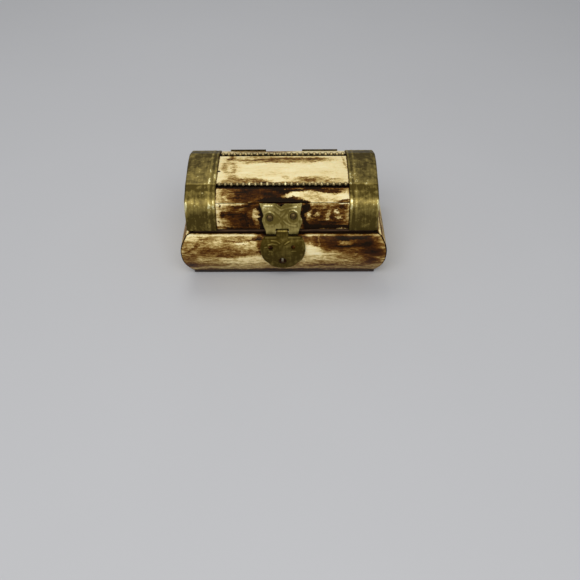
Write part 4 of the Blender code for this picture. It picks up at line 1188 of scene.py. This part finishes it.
def plate_line(rise=PLATE_RISE):
    """A lid plate's middle: down from the lid's ridge, then under the pin."""
    top = offset_path(lid_rail(), CLEARANCE + SHEET / 2)[1]
    to_top = top - AXIS
    touch = math.atan2(to_top.y, to_top.x) + math.acos(ROLL_RADIUS / to_top.length)
    roll = around_pin(touch, ROLL_SWEEP)
    return [top + (top - roll[0]).normalized() * rise, *roll]


def leaf_line(foot):
    """A body leaf's middle: up the swelling bone, then over the pin."""
    bone = [(-HALF_Y - SWELL, foot - LEAF_START)] if foot < FULLEST_HEIGHT else []
    climb = (RIM_HEIGHT - LEAF_LEAVES_BONE - FULLEST_HEIGHT) / LEAF_CURVE_STEPS
    heights = [FULLEST_HEIGHT + climb * count for count in range(LEAF_CURVE_STEPS + 1)]
    bone += [(-HALF_Y - swell_at(height), height) for height in heights]
    return offset_path(bone, LEAF_STANDOFF + SHEET / 2) + around_pin(math.pi, -ROLL_SWEEP)


print("a plate's line has", len(plate_line()), "points, a leaf's", len(leaf_line(0)))

# %% [markdown]
# A sheet could be sawn out of a block by booleans, but those leave no rows to bend
# or engrave. So a grid is laid along its line. Each row is as wide as the outline is
# there, and the cells beside a knuckle, or in the notch for one, are taken out.

# %% Rolled sheets from grids
TOUCHING = 1e-6


def sheet_grid(line, half_width_at, knuckle, columns, trim=None):
    """A grid along a line, as wide at each height as its outline."""
    rows = len(line)
    mesh = bmesh.new()
    bmesh.ops.create_grid(mesh, x_segments=columns, y_segments=rows - 1, size=1)
    widest = max(half_width_at(point.y) for point in line)
    share = round(knuckle / widest * columns / 2) / (columns / 2)
    for vert in mesh.verts:
        across, point = vert.co.x, line[round((vert.co.y + 1) / 2 * (rows - 1))]
        half = half_width_at(point.y)
        inner = min(knuckle, share * half)
        x = across / share * inner
        if abs(across) > share + TOUCHING:
            past = (abs(across) - share) / (1 - share)
            x = math.copysign(inner + past * (half - inner), across)
        vert.co = Vector((x, *(trim(point, x) if trim else point)))
    return mesh


def without(mesh, unwanted):
    """Takes out the cells whose middle is unwanted."""
    cells = [face for face in mesh.faces if unwanted(face.calc_center_median())]
    bmesh.ops.delete(mesh, geom=cells, context="FACES")


def on_outer_side(mesh):
    """Moves the grid from the sheet's middle to its outer side, facing outwards."""
    bmesh.ops.recalc_face_normals(mesh, faces=mesh.faces)
    foremost = min(mesh.faces, key=lambda face: face.calc_center_median().y)
    if foremost.normal.y > 0:
        bmesh.ops.reverse_faces(mesh, faces=mesh.faces)
    mesh.normal_update()
    for vert in mesh.verts:
        vert.co += vert.normal * SHEET / 2
    return mesh


def plate_sheet(rise, gap, half_width_at, knuckle, columns, trim=None):
    """A lid plate, with its notch for a leaf's knuckle."""
    notch, line = knuckle / 2 + CLEARANCE, spaced(plate_line(rise), gap)
    mesh = sheet_grid(line, half_width_at, notch, columns, trim)
    without(mesh, lambda at: abs(at.x) < notch and at.z < NOTCH_TOP)
    return on_outer_side(mesh)


def leaf_sheet(foot, gap, half_width_at, knuckle, columns, shoulder):
    """A body leaf, with its sides cut away beside its knuckle."""
    mesh = sheet_grid(spaced(leaf_line(foot), gap), half_width_at, knuckle / 2, columns)
    shoulder += AXIS_HEIGHT - KNUCKLE_ROOM
    without(mesh, lambda at: abs(at.x) > knuckle / 2 and at.z > shoulder)
    return on_outer_side(mesh)


def on_rear(mesh):
    """Turns a front fitting half round the box, to the rear."""
    bmesh.ops.transform(mesh, matrix=Matrix.Rotation(math.pi, 4, "Z"), verts=mesh.verts)


def moved_to(mesh, x):
    bmesh.ops.translate(mesh, verts=mesh.verts, vec=(x, 0, 0))


def sheet_piece(node, mesh, *ending):
    """Gives the sheet its thickness and rounds its outline."""
    bmesh.ops.solidify(mesh, geom=mesh.faces, thickness=SHEET * SHEET_SOLID_SHARE)
    eased(mesh, EDGE_ROUNDING, 60, 2)
    return finished(node + "_sheet", mesh, *ending, [node], crease=45)


print("sheets are", round(SHEET * SHEET_SOLID_SHARE / MM, 2), "mm thick")

# %% [markdown]
# Old sheet is engraved by hand. Its lines could be a picture laid on the brass, but
# real grooves catch the light. So they are strokes through a few points: the nearer
# a vertex is to a stroke, the deeper it is pressed. The groove is also kept as an
# attribute, which the brass reads to keep its lacquer there, and beside each line the
# opposite tone is painted, as painted light and shade. A depth below 0 raises a line,
# and a darkness below 0 brightens it: rubbed bright on raised strokes, and a painted
# highlight where a stroke lies along an edge or a knuckle.

# %% Outlines and engraved lines
HASP_MIDDLE = -0.6 * MM
RING_STEPS = 20
BESIDE_PAINTED_LIGHT, BESIDE_DEPTH = 0.4, 0.3


def smooth_at(pairs, spot):
    """A smooth curve through (spot, value) pairs, read at a spot."""
    pairs = sorted(pairs)
    if not pairs[0][0] < spot < pairs[-1][0]:
        return pairs[0][1] if spot <= pairs[0][0] else pairs[-1][1]
    index = max(count for count, pair in enumerate(pairs) if pair[0] <= spot)
    index = min(index, len(pairs) - 2)
    nearby = [pairs[max(0, min(len(pairs) - 1, index + step))] for step in (-1, 0, 1, 2)]
    span = nearby[2][0] - nearby[1][0]
    share = (spot - nearby[1][0]) / span
    leave, arrive = (
        (last[1] - first[1]) / (last[0] - first[0]) * span
        for first, last in ((nearby[0], nearby[2]), (nearby[1], nearby[3]))
    )
    square, cube = share**2, share**3
    value = (2 * cube - 3 * square + 1) * nearby[1][1] + (3 * square - 2 * cube) * nearby[2][1]
    return value + (cube - 2 * square + share) * leave + (cube - square) * arrive


def distance_to_stroke(spot, stroke):
    """How far a point is from a row of straight pieces."""
    best = FAR
    for start, end in zip(stroke, stroke[1:]):
        along = end - start
        share = max(0, min(1, (spot - start).dot(along) / along.length_squared))
        best = min(best, (spot - start - along * share).length)
    return best


def engraved(mesh, strokes, depth, width, darkness):
    """Presses or raises strokes in a sheet, all sizes in millimetres."""
    layers = mesh.verts.layers.float
    layer = layers.get("groove") or layers.new("groove")
    shift = Vector((HASP_MIDDLE, 0))
    lines = [[Vector(point) * MM - shift for point in stroke] for stroke in strokes]
    for vert in mesh.verts:
        spot = Vector((vert.co.x, vert.co.z))
        near = min(distance_to_stroke(spot, line) for line in lines) / MM
        pressed, beside = bell(near, width), bell(near - 2 * width, width)
        # beside each line the opposite tone is painted, as painted light and shade
        vert[layer] += darkness * (pressed - BESIDE_PAINTED_LIGHT * beside)
        vert.co -= vert.normal * depth * MM * (pressed - BESIDE_DEPTH * beside)


def ring(x, z, radius):
    """A closed stroke round a point."""
    turns = [math.tau * step / RING_STEPS for step in range(RING_STEPS + 1)]
    return [(x + radius * math.cos(turn), z + radius * math.sin(turn)) for turn in turns]


def scaled_pairs(pairs):
    return [(first * MM, second * MM) for first, second in pairs]


print("a ring has", len(ring(0, 0, 1)), "points")

# %% [markdown]
# The hasp's plate is nailed to the lid's front. Its sides are scalloped, its top has
# a small notch in the middle, and its foot rolls under the pin in two knuckles. Its
# upper part leans a little to the left, as it was nailed. Curls are engraved round
# its nails. A copy of the CAD plate could carry none of them, because its faces are
# large, so the plate is made anew from heights and half widths in millimetres.

# %% The hasp's plate
PLATE_WIDTHS = (
    *((26.9, 7.7), (28.6, 7.8), (29.6, 8.0), (31.0, 8.7), (32.2, 9.1), (33.6, 9.65)),
    *((34.8, 9.5), (35.8, 8.9), (36.8, 9.0), (38.6, 9.5), (40.8, 10.2)),
)
PLATE_TOP_CUTS = ((0, 1.8), (1.0, 1.1), (2.2, 0.3), (5.0, 0.35), (8.6, 0.25), (10.2, 0.0))
TOP_CUT_POWER = 3
PLATE_LEAN, PLATE_LEANS_FROM = 0.09, 34.0 * MM
PRESSED_CURLS = (
    ((-2.7, 40.1), (-1.2, 39.0), (-0.3, 39.9), (1.2, 40.3)),
    ((-4.0, 37.4), (-1.2, 35.0), (0.3, 32.9)),
    ((2.8, 37.9), (-0.2, 35.5), (-2.7, 33.1)),
    ring(-6.3, 34.7, 2.1),
    ring(4.9, 35.5, 2.1),
)
RAISED_CURLS = (
    # the first stroke is a painted highlight along the plate's top edge, at the left
    ((-8.4, 40.1), (-4.2, 40.1)),
    ((-3.0, 40.0), (-0.6, 38.2), (1.2, 38.8), (3.6, 39.3), (6.8, 39.6)),
    ((-0.2, 34.0), (2.8, 32.2), (6.0, 31.8)),
)
RAISED_ARCS = (
    ((-9.0, 36.8), (-6.3, 37.6), (-4.2, 36.8)),
    ((2.4, 37.4), (4.8, 38.4), (7.0, 37.4)),
)
# engraved rings, darkened as painted shade under the nail heads' rims
NAIL_RINGS_SHADED = (ring(-6.5, 34.9, 1.9), ring(4.8, 35.7, 1.9))
DARK_MIDDLE = (((-6.0, 35.0), (5.0, 35.6)),)
DARK_TOP = (((-2.6, 40.2), (3.2, 40.2)),)
BRIGHT_FOOT = (((-7.4, 30.4), (-2.6, 30.4)),)
PLATE_ENGRAVING = (
    (PRESSED_CURLS, 0.05, 0.34, 0.45),
    (RAISED_CURLS, -0.05, 0.30, -0.45),
    (RAISED_ARCS, -0.04, 0.30, -0.24),
    (NAIL_RINGS_SHADED, 0.03, 0.42, 0.46),
    (DARK_MIDDLE, 0.0, 2.8, 0.42),
    (DARK_TOP, 0.0, 2.0, 0.48),
    (BRIGHT_FOOT, 0.0, 1.4, -0.28),
)
HASP_KNUCKLE = 5.7 * MM
HASP_COLUMNS = 66


def plate_trim(point, x):
    """Lowers the plate's top edge where it is notched."""
    line_top, line_foot = plate_line()[:2]
    up, full = (line_top - line_foot).normalized(), (line_top - line_foot).length
    height = max(0, (point - line_foot).dot(up))
    cut = smooth_at(scaled_pairs(PLATE_TOP_CUTS), abs(x))
    return point - up * cut * (height / full) ** TOP_CUT_POWER


plate_width = partial(smooth_at, scaled_pairs(PLATE_WIDTHS))
plate = plate_sheet(PLATE_RISE, SHEET_GAP, plate_width, HASP_KNUCKLE, HASP_COLUMNS, plate_trim)
for row in PLATE_ENGRAVING:
    engraved(plate, *row)
moved_to(plate, HASP_MIDDLE)
for vert in plate.verts:
    vert.co.x -= PLATE_LEAN * max(0, vert.co.z - PLATE_LEANS_FROM)
sheet_piece("hasp_plate", plate, plate_brass, "lid", "brass")

# %% [markdown]
# The leaf is a rounded shield with two small holes and a larger one for the staple.
# It could be cut from a plain disc, but its right side is a little wider. It is
# rolled over the same pin by its own knuckle, so it swings on it. The holes are cut
# last, by rods.

# %% The hasp's leaf
LEAF_WIDTHS = (
    *((8.9, 0.5), (9.2, 2.4), (9.8, 4.4), (11.0, 6.0), (12.6, 7.3), (14.2, 8.9), (16.4, 9.9)),
    *((18.6, 10.4), (20.8, 10.75), (23.2, 10.6), (25.2, 9.9), (26.3, 9.2), (26.7, 8.7)),
)
RAISED_STROKES = (
    ((-6.0, 25.3), (-3.6, 25.1), (-1.9, 24.1)),
    ((0.7, 23.7), (1.7, 24.4), (2.7, 24.9)),
    ((-7.5, 23.4), (-5.5, 23.9), (-3.1, 23.4)),
    ((-9.2, 22.2), (-8.2, 22.3)),
    ((4.1, 20.1), (6.0, 20.1)),
    ((-7.1, 19.9), (-5.6, 19.7)),
    # the last two strokes are a painted highlight along the leaf's top edge
    ((-8.8, 26.6), (-3.5, 26.6)),
    ((2.3, 26.6), (8.0, 26.6)),
)
# a painted highlight along the top of the knuckle
KNUCKLE_HIGHLIGHT = (((-2.6, 29.75), (1.4, 29.75)),)
LEAF_ENGRAVING = ((RAISED_STROKES, -0.05, 0.26, -0.46), (KNUCKLE_HIGHLIGHT, 0.0, 0.3, -0.34))
LEAF_HOLES = ((-5.8, 21.9, 1.25), (5.3, 22.2, 1.1), (0.0, 13.7, 2.0))
HOLE_SIDES, HOLE_ROD = 40, 10 * MM
LEAF_RIGHT_WIDER = 0.07
LEAF_SHOULDER = 0.2 * MM


def front_rod(x, z, radius):
    """A round rod through the front, for cutting a hole."""
    mesh = bmesh.new()
    place = Matrix.Translation((x, -HALF_Y - SWELL, z)) @ Matrix.Rotation(QUARTER, 4, "X")
    size = {"radius1": radius, "radius2": radius, "depth": HOLE_ROD}
    bmesh.ops.create_cone(mesh, cap_ends=True, segments=HOLE_SIDES, matrix=place, **size)
    return mesh


leaf_widths = scaled_pairs(LEAF_WIDTHS)
leaf_width = partial(smooth_at, leaf_widths)
leaf_shape = (leaf_widths[0][0], SHEET_GAP, leaf_width, HASP_KNUCKLE, HASP_COLUMNS)
leaf_mesh = leaf_sheet(*leaf_shape, LEAF_SHOULDER)
for vert in leaf_mesh.verts:
    vert.co.x += LEAF_RIGHT_WIDER * max(0, vert.co.x - HASP_KNUCKLE / 2)
for row in LEAF_ENGRAVING:
    engraved(leaf_mesh, *row)
moved_to(leaf_mesh, HASP_MIDDLE)
leaf = sheet_piece("hasp_leaf", leaf_mesh, leaf_brass, "hasp", "dark_brass")
for x, z, radius in LEAF_HOLES:
    carve(leaf, front_rod(HASP_MIDDLE + x * MM, z * MM, radius * MM))
print("leaf after its holes:", len(leaf.data.polygons), "faces")

# %% [markdown]
# Only the tops of two leaves show of the rear hinges. The rest is guessed: each is
# the same two sheets with straight sides and no engraving. They could be made where
# they sit, but the lines are the front's, so they are made there and turned round.

# %% The rear hinges
HINGE_WIDTH, HINGE_KNUCKLE, HINGE_MIDDLE = 18.7 * MM, 6.2 * MM, 18.9 * MM
HINGE_LEAF_FOOT = 14.1 * MM
REAR_PLATE_RISE = -0.2 * MM
HINGE_COLUMNS = 30


def hinge_width(height):
    """Half the width of a rear leaf, the same at every height."""
    return HINGE_WIDTH / 2


shape = 2 * SHEET_GAP, hinge_width, HINGE_KNUCKLE, HINGE_COLUMNS
for side_name, side in (("left", -1), ("right", 1)):
    lid_leaf = plate_sheet(REAR_PLATE_RISE, *shape)
    body_leaf = leaf_sheet(HINGE_LEAF_FOOT, *shape, -CLEARANCE)
    for kind, mesh, body in (("lid", lid_leaf, "lid"), ("body", body_leaf, "box_body")):
        moved_to(mesh, -side * HINGE_MIDDLE)
        on_rear(mesh)
        sheet_piece(f"{side_name}_hinge_{kind}_leaf", mesh, hinge_brass, body, "brass")

# %% [markdown]
# The nails have domed heads, as upholstery nails do. A half ball would look cut off,
# so each is a profile with a small rim, spun round the nail's own axis, which stands
# square to the sheet that it holds. The hasp's right nail sits a little higher.

# %% Domed nails
NAIL_HEAD_RADIUS, NAIL_HEAD_HEIGHT, NAIL_RIM = 1.75 * MM, 1.0 * MM, 0.12 * MM
NAIL_SHANK_RADIUS, PLATE_SHANK, LEAF_SHANK = 0.5 * MM, 1.2 * MM, 0.9 * MM
NAIL_SPACING = 11.3 * MM
NAIL_UP_PLATE, NAIL_ABOVE_FULLEST = 6.9 * MM, 0.5 * MM
HASP_NAIL_LIFTS, HASP_NAILS_LEFT = (0.0, 0.85 * MM), 0.25 * MM
NAIL_SEAT = 0.05 * MM
NAIL_SIDES, DOME_STEPS = 28, 7


def dome(radius, low, high):
    """Points of a dome, from above its rim to its top."""
    turns = [QUARTER * step / DOME_STEPS for step in range(1, DOME_STEPS)]
    arc = [(low + (high - low) * math.sin(turn), radius * math.cos(turn)) for turn in turns]
    return [*arc, (high, 0)]


def nail_profile(shank):
    """From the shank's tip over the head's rim to the top of the dome."""
    profile = [(-shank, 0), (-shank, NAIL_SHANK_RADIUS), (0, NAIL_SHANK_RADIUS)]
    profile += [(0, NAIL_HEAD_RADIUS - NAIL_RIM), (NAIL_RIM / 2, NAIL_HEAD_RADIUS)]
    return profile + dome(NAIL_HEAD_RADIUS - NAIL_RIM / 2, NAIL_RIM, NAIL_HEAD_HEIGHT)


def nail_on_plate(x, lift=0.0):
    """Where a nail stands on a front plate."""
    top, foot = plate_line()[:2]
    up = (top - foot).normalized()
    out = Vector((-up.y, up.x))
    spot = foot + up * (NAIL_UP_PLATE + lift) + out * (SHEET / 2 + NAIL_SEAT)
    turn = QUARTER - math.atan2(out.y, -out.x)
    return Matrix.Translation((x, *spot)) @ Matrix.Rotation(turn, 4, "X")


def nail_on_leaf(x):
    """Where a nail stands on a body leaf at the front."""
    y = -HALF_Y - SWELL - LEAF_STANDOFF - SHEET - NAIL_SEAT
    place = Matrix.Translation((x, y, FULLEST_HEIGHT + NAIL_ABOVE_FULLEST))
    return place @ Matrix.Rotation(QUARTER, 4, "X")


def nail(node, place, shank, body, rear=True):
    mesh = bmesh.new()
    spun(mesh, nail_profile(shank), NAIL_SIDES, place)
    if rear:
        on_rear(mesh)
    finished(node + "_domed", mesh, nail_metal, body, "nail", [node], crease=50)


def nails_across(middle):
    return middle - NAIL_SPACING / 2, middle + NAIL_SPACING / 2


hasp_xs = nails_across(HASP_MIDDLE - HASP_NAILS_LEFT)
for number, (x, lift) in enumerate(zip(hasp_xs, HASP_NAIL_LIFTS), start=1):
    nail(f"hasp_plate_nail_{number}", nail_on_plate(x, lift), PLATE_SHANK, "lid", False)
rear_xs = [*nails_across(-HINGE_MIDDLE), *nails_across(HINGE_MIDDLE)]
for number, x in enumerate(rear_xs, start=1):
    nail(f"lid_hinge_nail_{number}", nail_on_plate(-x), PLATE_SHANK, "lid")
    nail(f"body_hinge_nail_{number}", nail_on_leaf(-x), LEAF_SHANK, "box_body")

# %% [markdown]
# Tacks with small heads hold the bands. They could go all round each band, but the
# photograph shows only a few as bright specks, all on the front half, and only those
# are made. They are too small for the CAD model, so they replace nothing.

# %% Tacks in the bands
TACK_RADIUS, TACK_HEIGHT, TACK_SIDES = 0.5 * MM, 0.3 * MM, 14
TACKS = ((-41.9, 7.4), (-39.0, 17.7), (33.6, 8.8), (35.9, 11.3), (41.0, 11.1))


def band_surface(depth):
    """The band's outside at a distance from the lid's middle: its spot and slope."""
    points = [point for point in offset_path(lid_rail(), BAND_OUTSIDE) if point.x <= 0]
    for start, end in zip(points, points[1:]):
        if start.x <= -depth <= end.x:
            along = (end - start).normalized()
            spot = start.lerp(end, (-depth - start.x) / (end.x - start.x))
            return spot, math.atan2(along.y, along.x)
    raise ValueError("no band there")


tack_mesh = bmesh.new()
tack_profile = [(0, TACK_RADIUS), *dome(TACK_RADIUS, 0, TACK_HEIGHT)]
for x, depth in TACKS:
    spot, slope = band_surface(depth * MM)
    place = Matrix.Translation((x * MM, *spot)) @ Matrix.Rotation(slope, 4, "X")
    spun(tack_mesh, tack_profile, TACK_SIDES, place)
finished("band_tacks", tack_mesh, tack_brass, "lid", "brass", crease=60)

# %% [markdown]
# The lining is velvet glued to the walls, over a padded floor, and felt lies under
# the base. The cloth could be simulated, but glued cloth doesn't hang: the walls are
# the CAD tray with rounded edges. The floor pad is a grid raised in the middle and
# closed below.

# %% Velvet and felt
LINING_LENGTH, LINING_DEPTH, LINING_WALL = 83.8 * MM, 47.6 * MM, 23.7 * MM
WALL_CLOTH, PAD_GAP = 0.6 * MM, 0.3 * MM
PAD_FLOOR, PAD_HEIGHT = 3.72 * MM, 0.9 * MM
PAD_EDGE_SHARE, PAD_POWER, PAD_RIPPLE = 0.25, 8, 0.12
PAD_RIPPLES = Vector((5, 3, 0))
PAD_CELLS = 48, 30
TRAY_EASE, LID_CLOTH_EASE, FELT_EASE = 0.25 * MM, 0.15 * MM, 0.12 * MM
CLOTH_EDGES = {"least": 40, "segments": 2, "crease": 60}


def pad_height(across):
    """The pad's height where it lies between -1 and 1 both ways."""
    u, v = across.x, across.y
    rise = ((1 - u**PAD_POWER) * (1 - v**PAD_POWER)) ** 0.5 if max(abs(u), abs(v)) < 1 else 0
    ripple = noise.noise(across * PAD_RIPPLES) * PAD_RIPPLE
    return PAD_FLOOR + PAD_HEIGHT * (PAD_EDGE_SHARE + (1 - PAD_EDGE_SHARE + ripple) * rise)


def floor_pad():
    """A thin cushion that is highest in its middle."""
    mesh = bmesh.new()
    columns, rows = PAD_CELLS
    bmesh.ops.create_grid(mesh, x_segments=columns, y_segments=rows, size=1)
    half_length, half_depth = (
        size / 2 - WALL_CLOTH - PAD_GAP for size in (LINING_LENGTH, LINING_DEPTH)
    )
    edge = [item for item in mesh.edges if item.is_boundary]
    for vert in mesh.verts:
        u, v, _ = vert.co
        vert.co = Vector((u * half_length, v * half_depth, pad_height(vert.co)))
    for vert in new_verts(bmesh.ops.extrude_edge_only(mesh, edges=edge)):
        vert.co.z = PAD_FLOOR
    bmesh.ops.holes_fill(mesh, edges=[item for item in mesh.edges if item.is_boundary])
    return finished("floor_pad", mesh, red_velvet, "box_body", "velvet", crease=60)


in_body, in_lid = (red_velvet, "box_body", "velvet"), (red_velvet, "lid", "velvet")
tray = eased_copy("wall_velvet", "body_lining", TRAY_EASE, *in_body, **CLOTH_EDGES)
floor_pad()
for part, board in (("lid", "lid_top"), ("lid_left_end",) * 2, ("lid_right_end",) * 2):
    names = part + "_velvet", part + "_lining"
    cloth = eased_copy(*names, LID_CLOTH_EASE, *in_lid, **CLOTH_EDGES)
under_box = (black_felt, "box_body", "felt")
felt = eased_copy("underside_felt", "base_felt", FELT_EASE, *under_box, **CLOTH_EDGES)

# %% [markdown]
# The boards and pins could be remade too, but they are right as they are in the CAD
# model, so they stay and only get a better material. The base board is darker, a
# painted shade under the box. The staple is driven through a slot in the front bone.

# %% Boards, pins and staple
LONG_PARTS = ("front", "rear", "lid_top", "lid_front_upper", "lid_front_lower")
LONG_PARTS += ("lid_rear_upper", "lid_rear_lower")
CROSS_PARTS = ("left", "right", "lid_left_end", "lid_right_end")
PINS = ("left_hinge_pin", "right_hinge_pin", "hasp_pin")
STAPLE_EASE = 0.1 * MM
STAPLE_SLOT = (1.7 * MM, 6.0 * MM, 3.3 * MM)
STAPLE_PLACE = (HASP_MIDDLE, -33.4 * MM, 13.7 * MM)


def paint(nodes, material):
    """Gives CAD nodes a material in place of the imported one."""
    for name in nodes:
        for place in frame["nodes"][name].material_slots:
            place.material = material


paint([part + "_board" for part in LONG_PARTS], long_wood)
paint([part + "_board" for part in CROSS_PARTS], cross_wood)
paint(["base_board"], base_wood_shaded)
paint(PINS, pin_metal)
eased_copy("staple_bar", "hasp_staple", STAPLE_EASE, pin_metal, "box_body", "brass")
slot_mesh = bmesh.new()
slot_shape = Matrix.Translation(STAPLE_PLACE) @ Matrix.Diagonal((*STAPLE_SLOT, 1))
bmesh.ops.create_cube(slot_mesh, size=1, matrix=slot_shape)
carve(front_panel, slot_mesh)
print("front panel with its slot:", len(front_panel.data.polygons), "faces")

# %% [markdown]
# The box stands on a plain pale floor. One wide lamp above and in front lights it
# softly, a weaker one behind draws the glints along the beads and the ridges, and an
# even sky fills the shadows. A picture of a room could light it too, but lamps are
# simple to move.

# %% Floor, lamps and sky
FLOOR_SIZE = 3.0
FLOOR_COLOUR, FLOOR_PALER, FLOOR_NOISE = (0.54, 0.54, 0.55), 1.04, (0.01, 2.0, 0.55)
FLOOR_ROUGHNESS = 0.7
SKY_COLOUR, SKY_STRENGTH = (0.95, 0.97, 1.0, 1), 0.36


def pale_floor():
    mesh = bmesh.new()
    bmesh.ops.create_grid(mesh, x_segments=1, y_segments=1, size=FLOOR_SIZE / 2)
    data = bpy.data.meshes.new("floor")
    mesh.to_mesh(data)
    mesh.free()
    material, tree, shader = new_material("floor_paint")
    soft = cloud(tree, in_millimetres(tree), FLOOR_NOISE)
    dull, pale = ((*(value * up for value in FLOOR_COLOUR), 1) for up in (1, FLOOR_PALER))
    inputs = {"Base Color": mixed(tree, soft, dull, pale), "Roughness": FLOOR_ROUGHNESS}
    fill(tree, shader, inputs)
    data.materials.append(material)
    floor = bpy.data.objects.new("floor", data)
    scene.collection.objects.link(floor)
    floor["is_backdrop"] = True


def lamp(name, place, aim, size, watts):
    data = bpy.data.lights.new(name, "AREA")
    data.shape = "RECTANGLE"
    data.size, data.size_y = size
    data.energy = watts
    light = bpy.data.objects.new(name, data)
    light.location = place
    light.rotation_euler = (Vector(aim) - Vector(place)).to_track_quat("-Z", "Y").to_euler()
    scene.collection.objects.link(light)


pale_floor()
lamp("window", (-0.03, -0.44, 0.62), (0, 0, 0.03), (0.9, 0.4), 3.6)
lamp("rear glint", (-0.14, 0.36, 0.62), (0, 0, 0.04), (0.4, 0.2), 0.8)
sky = bpy.data.worlds.new("sky")
sky.use_nodes = True
background = sky.node_tree.nodes["Background"]
fill(sky.node_tree, background, {"Color": SKY_COLOUR, "Strength": SKY_STRENGTH})
scene.world = sky
scene.view_settings.view_transform = "Standard"
print("lamps:", len(bpy.data.lights))

# %% [markdown]
# Last come the sizes: the dressed box has to fill the same space as the CAD model.

# %% Sizes and finish
dressed_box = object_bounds()
for name, (low, high) in (("CAD", cad_box), ("dressed", dressed_box)):
    print(name, [round((top - foot) / MM, 2) for foot, top in zip(low, high)], "mm")
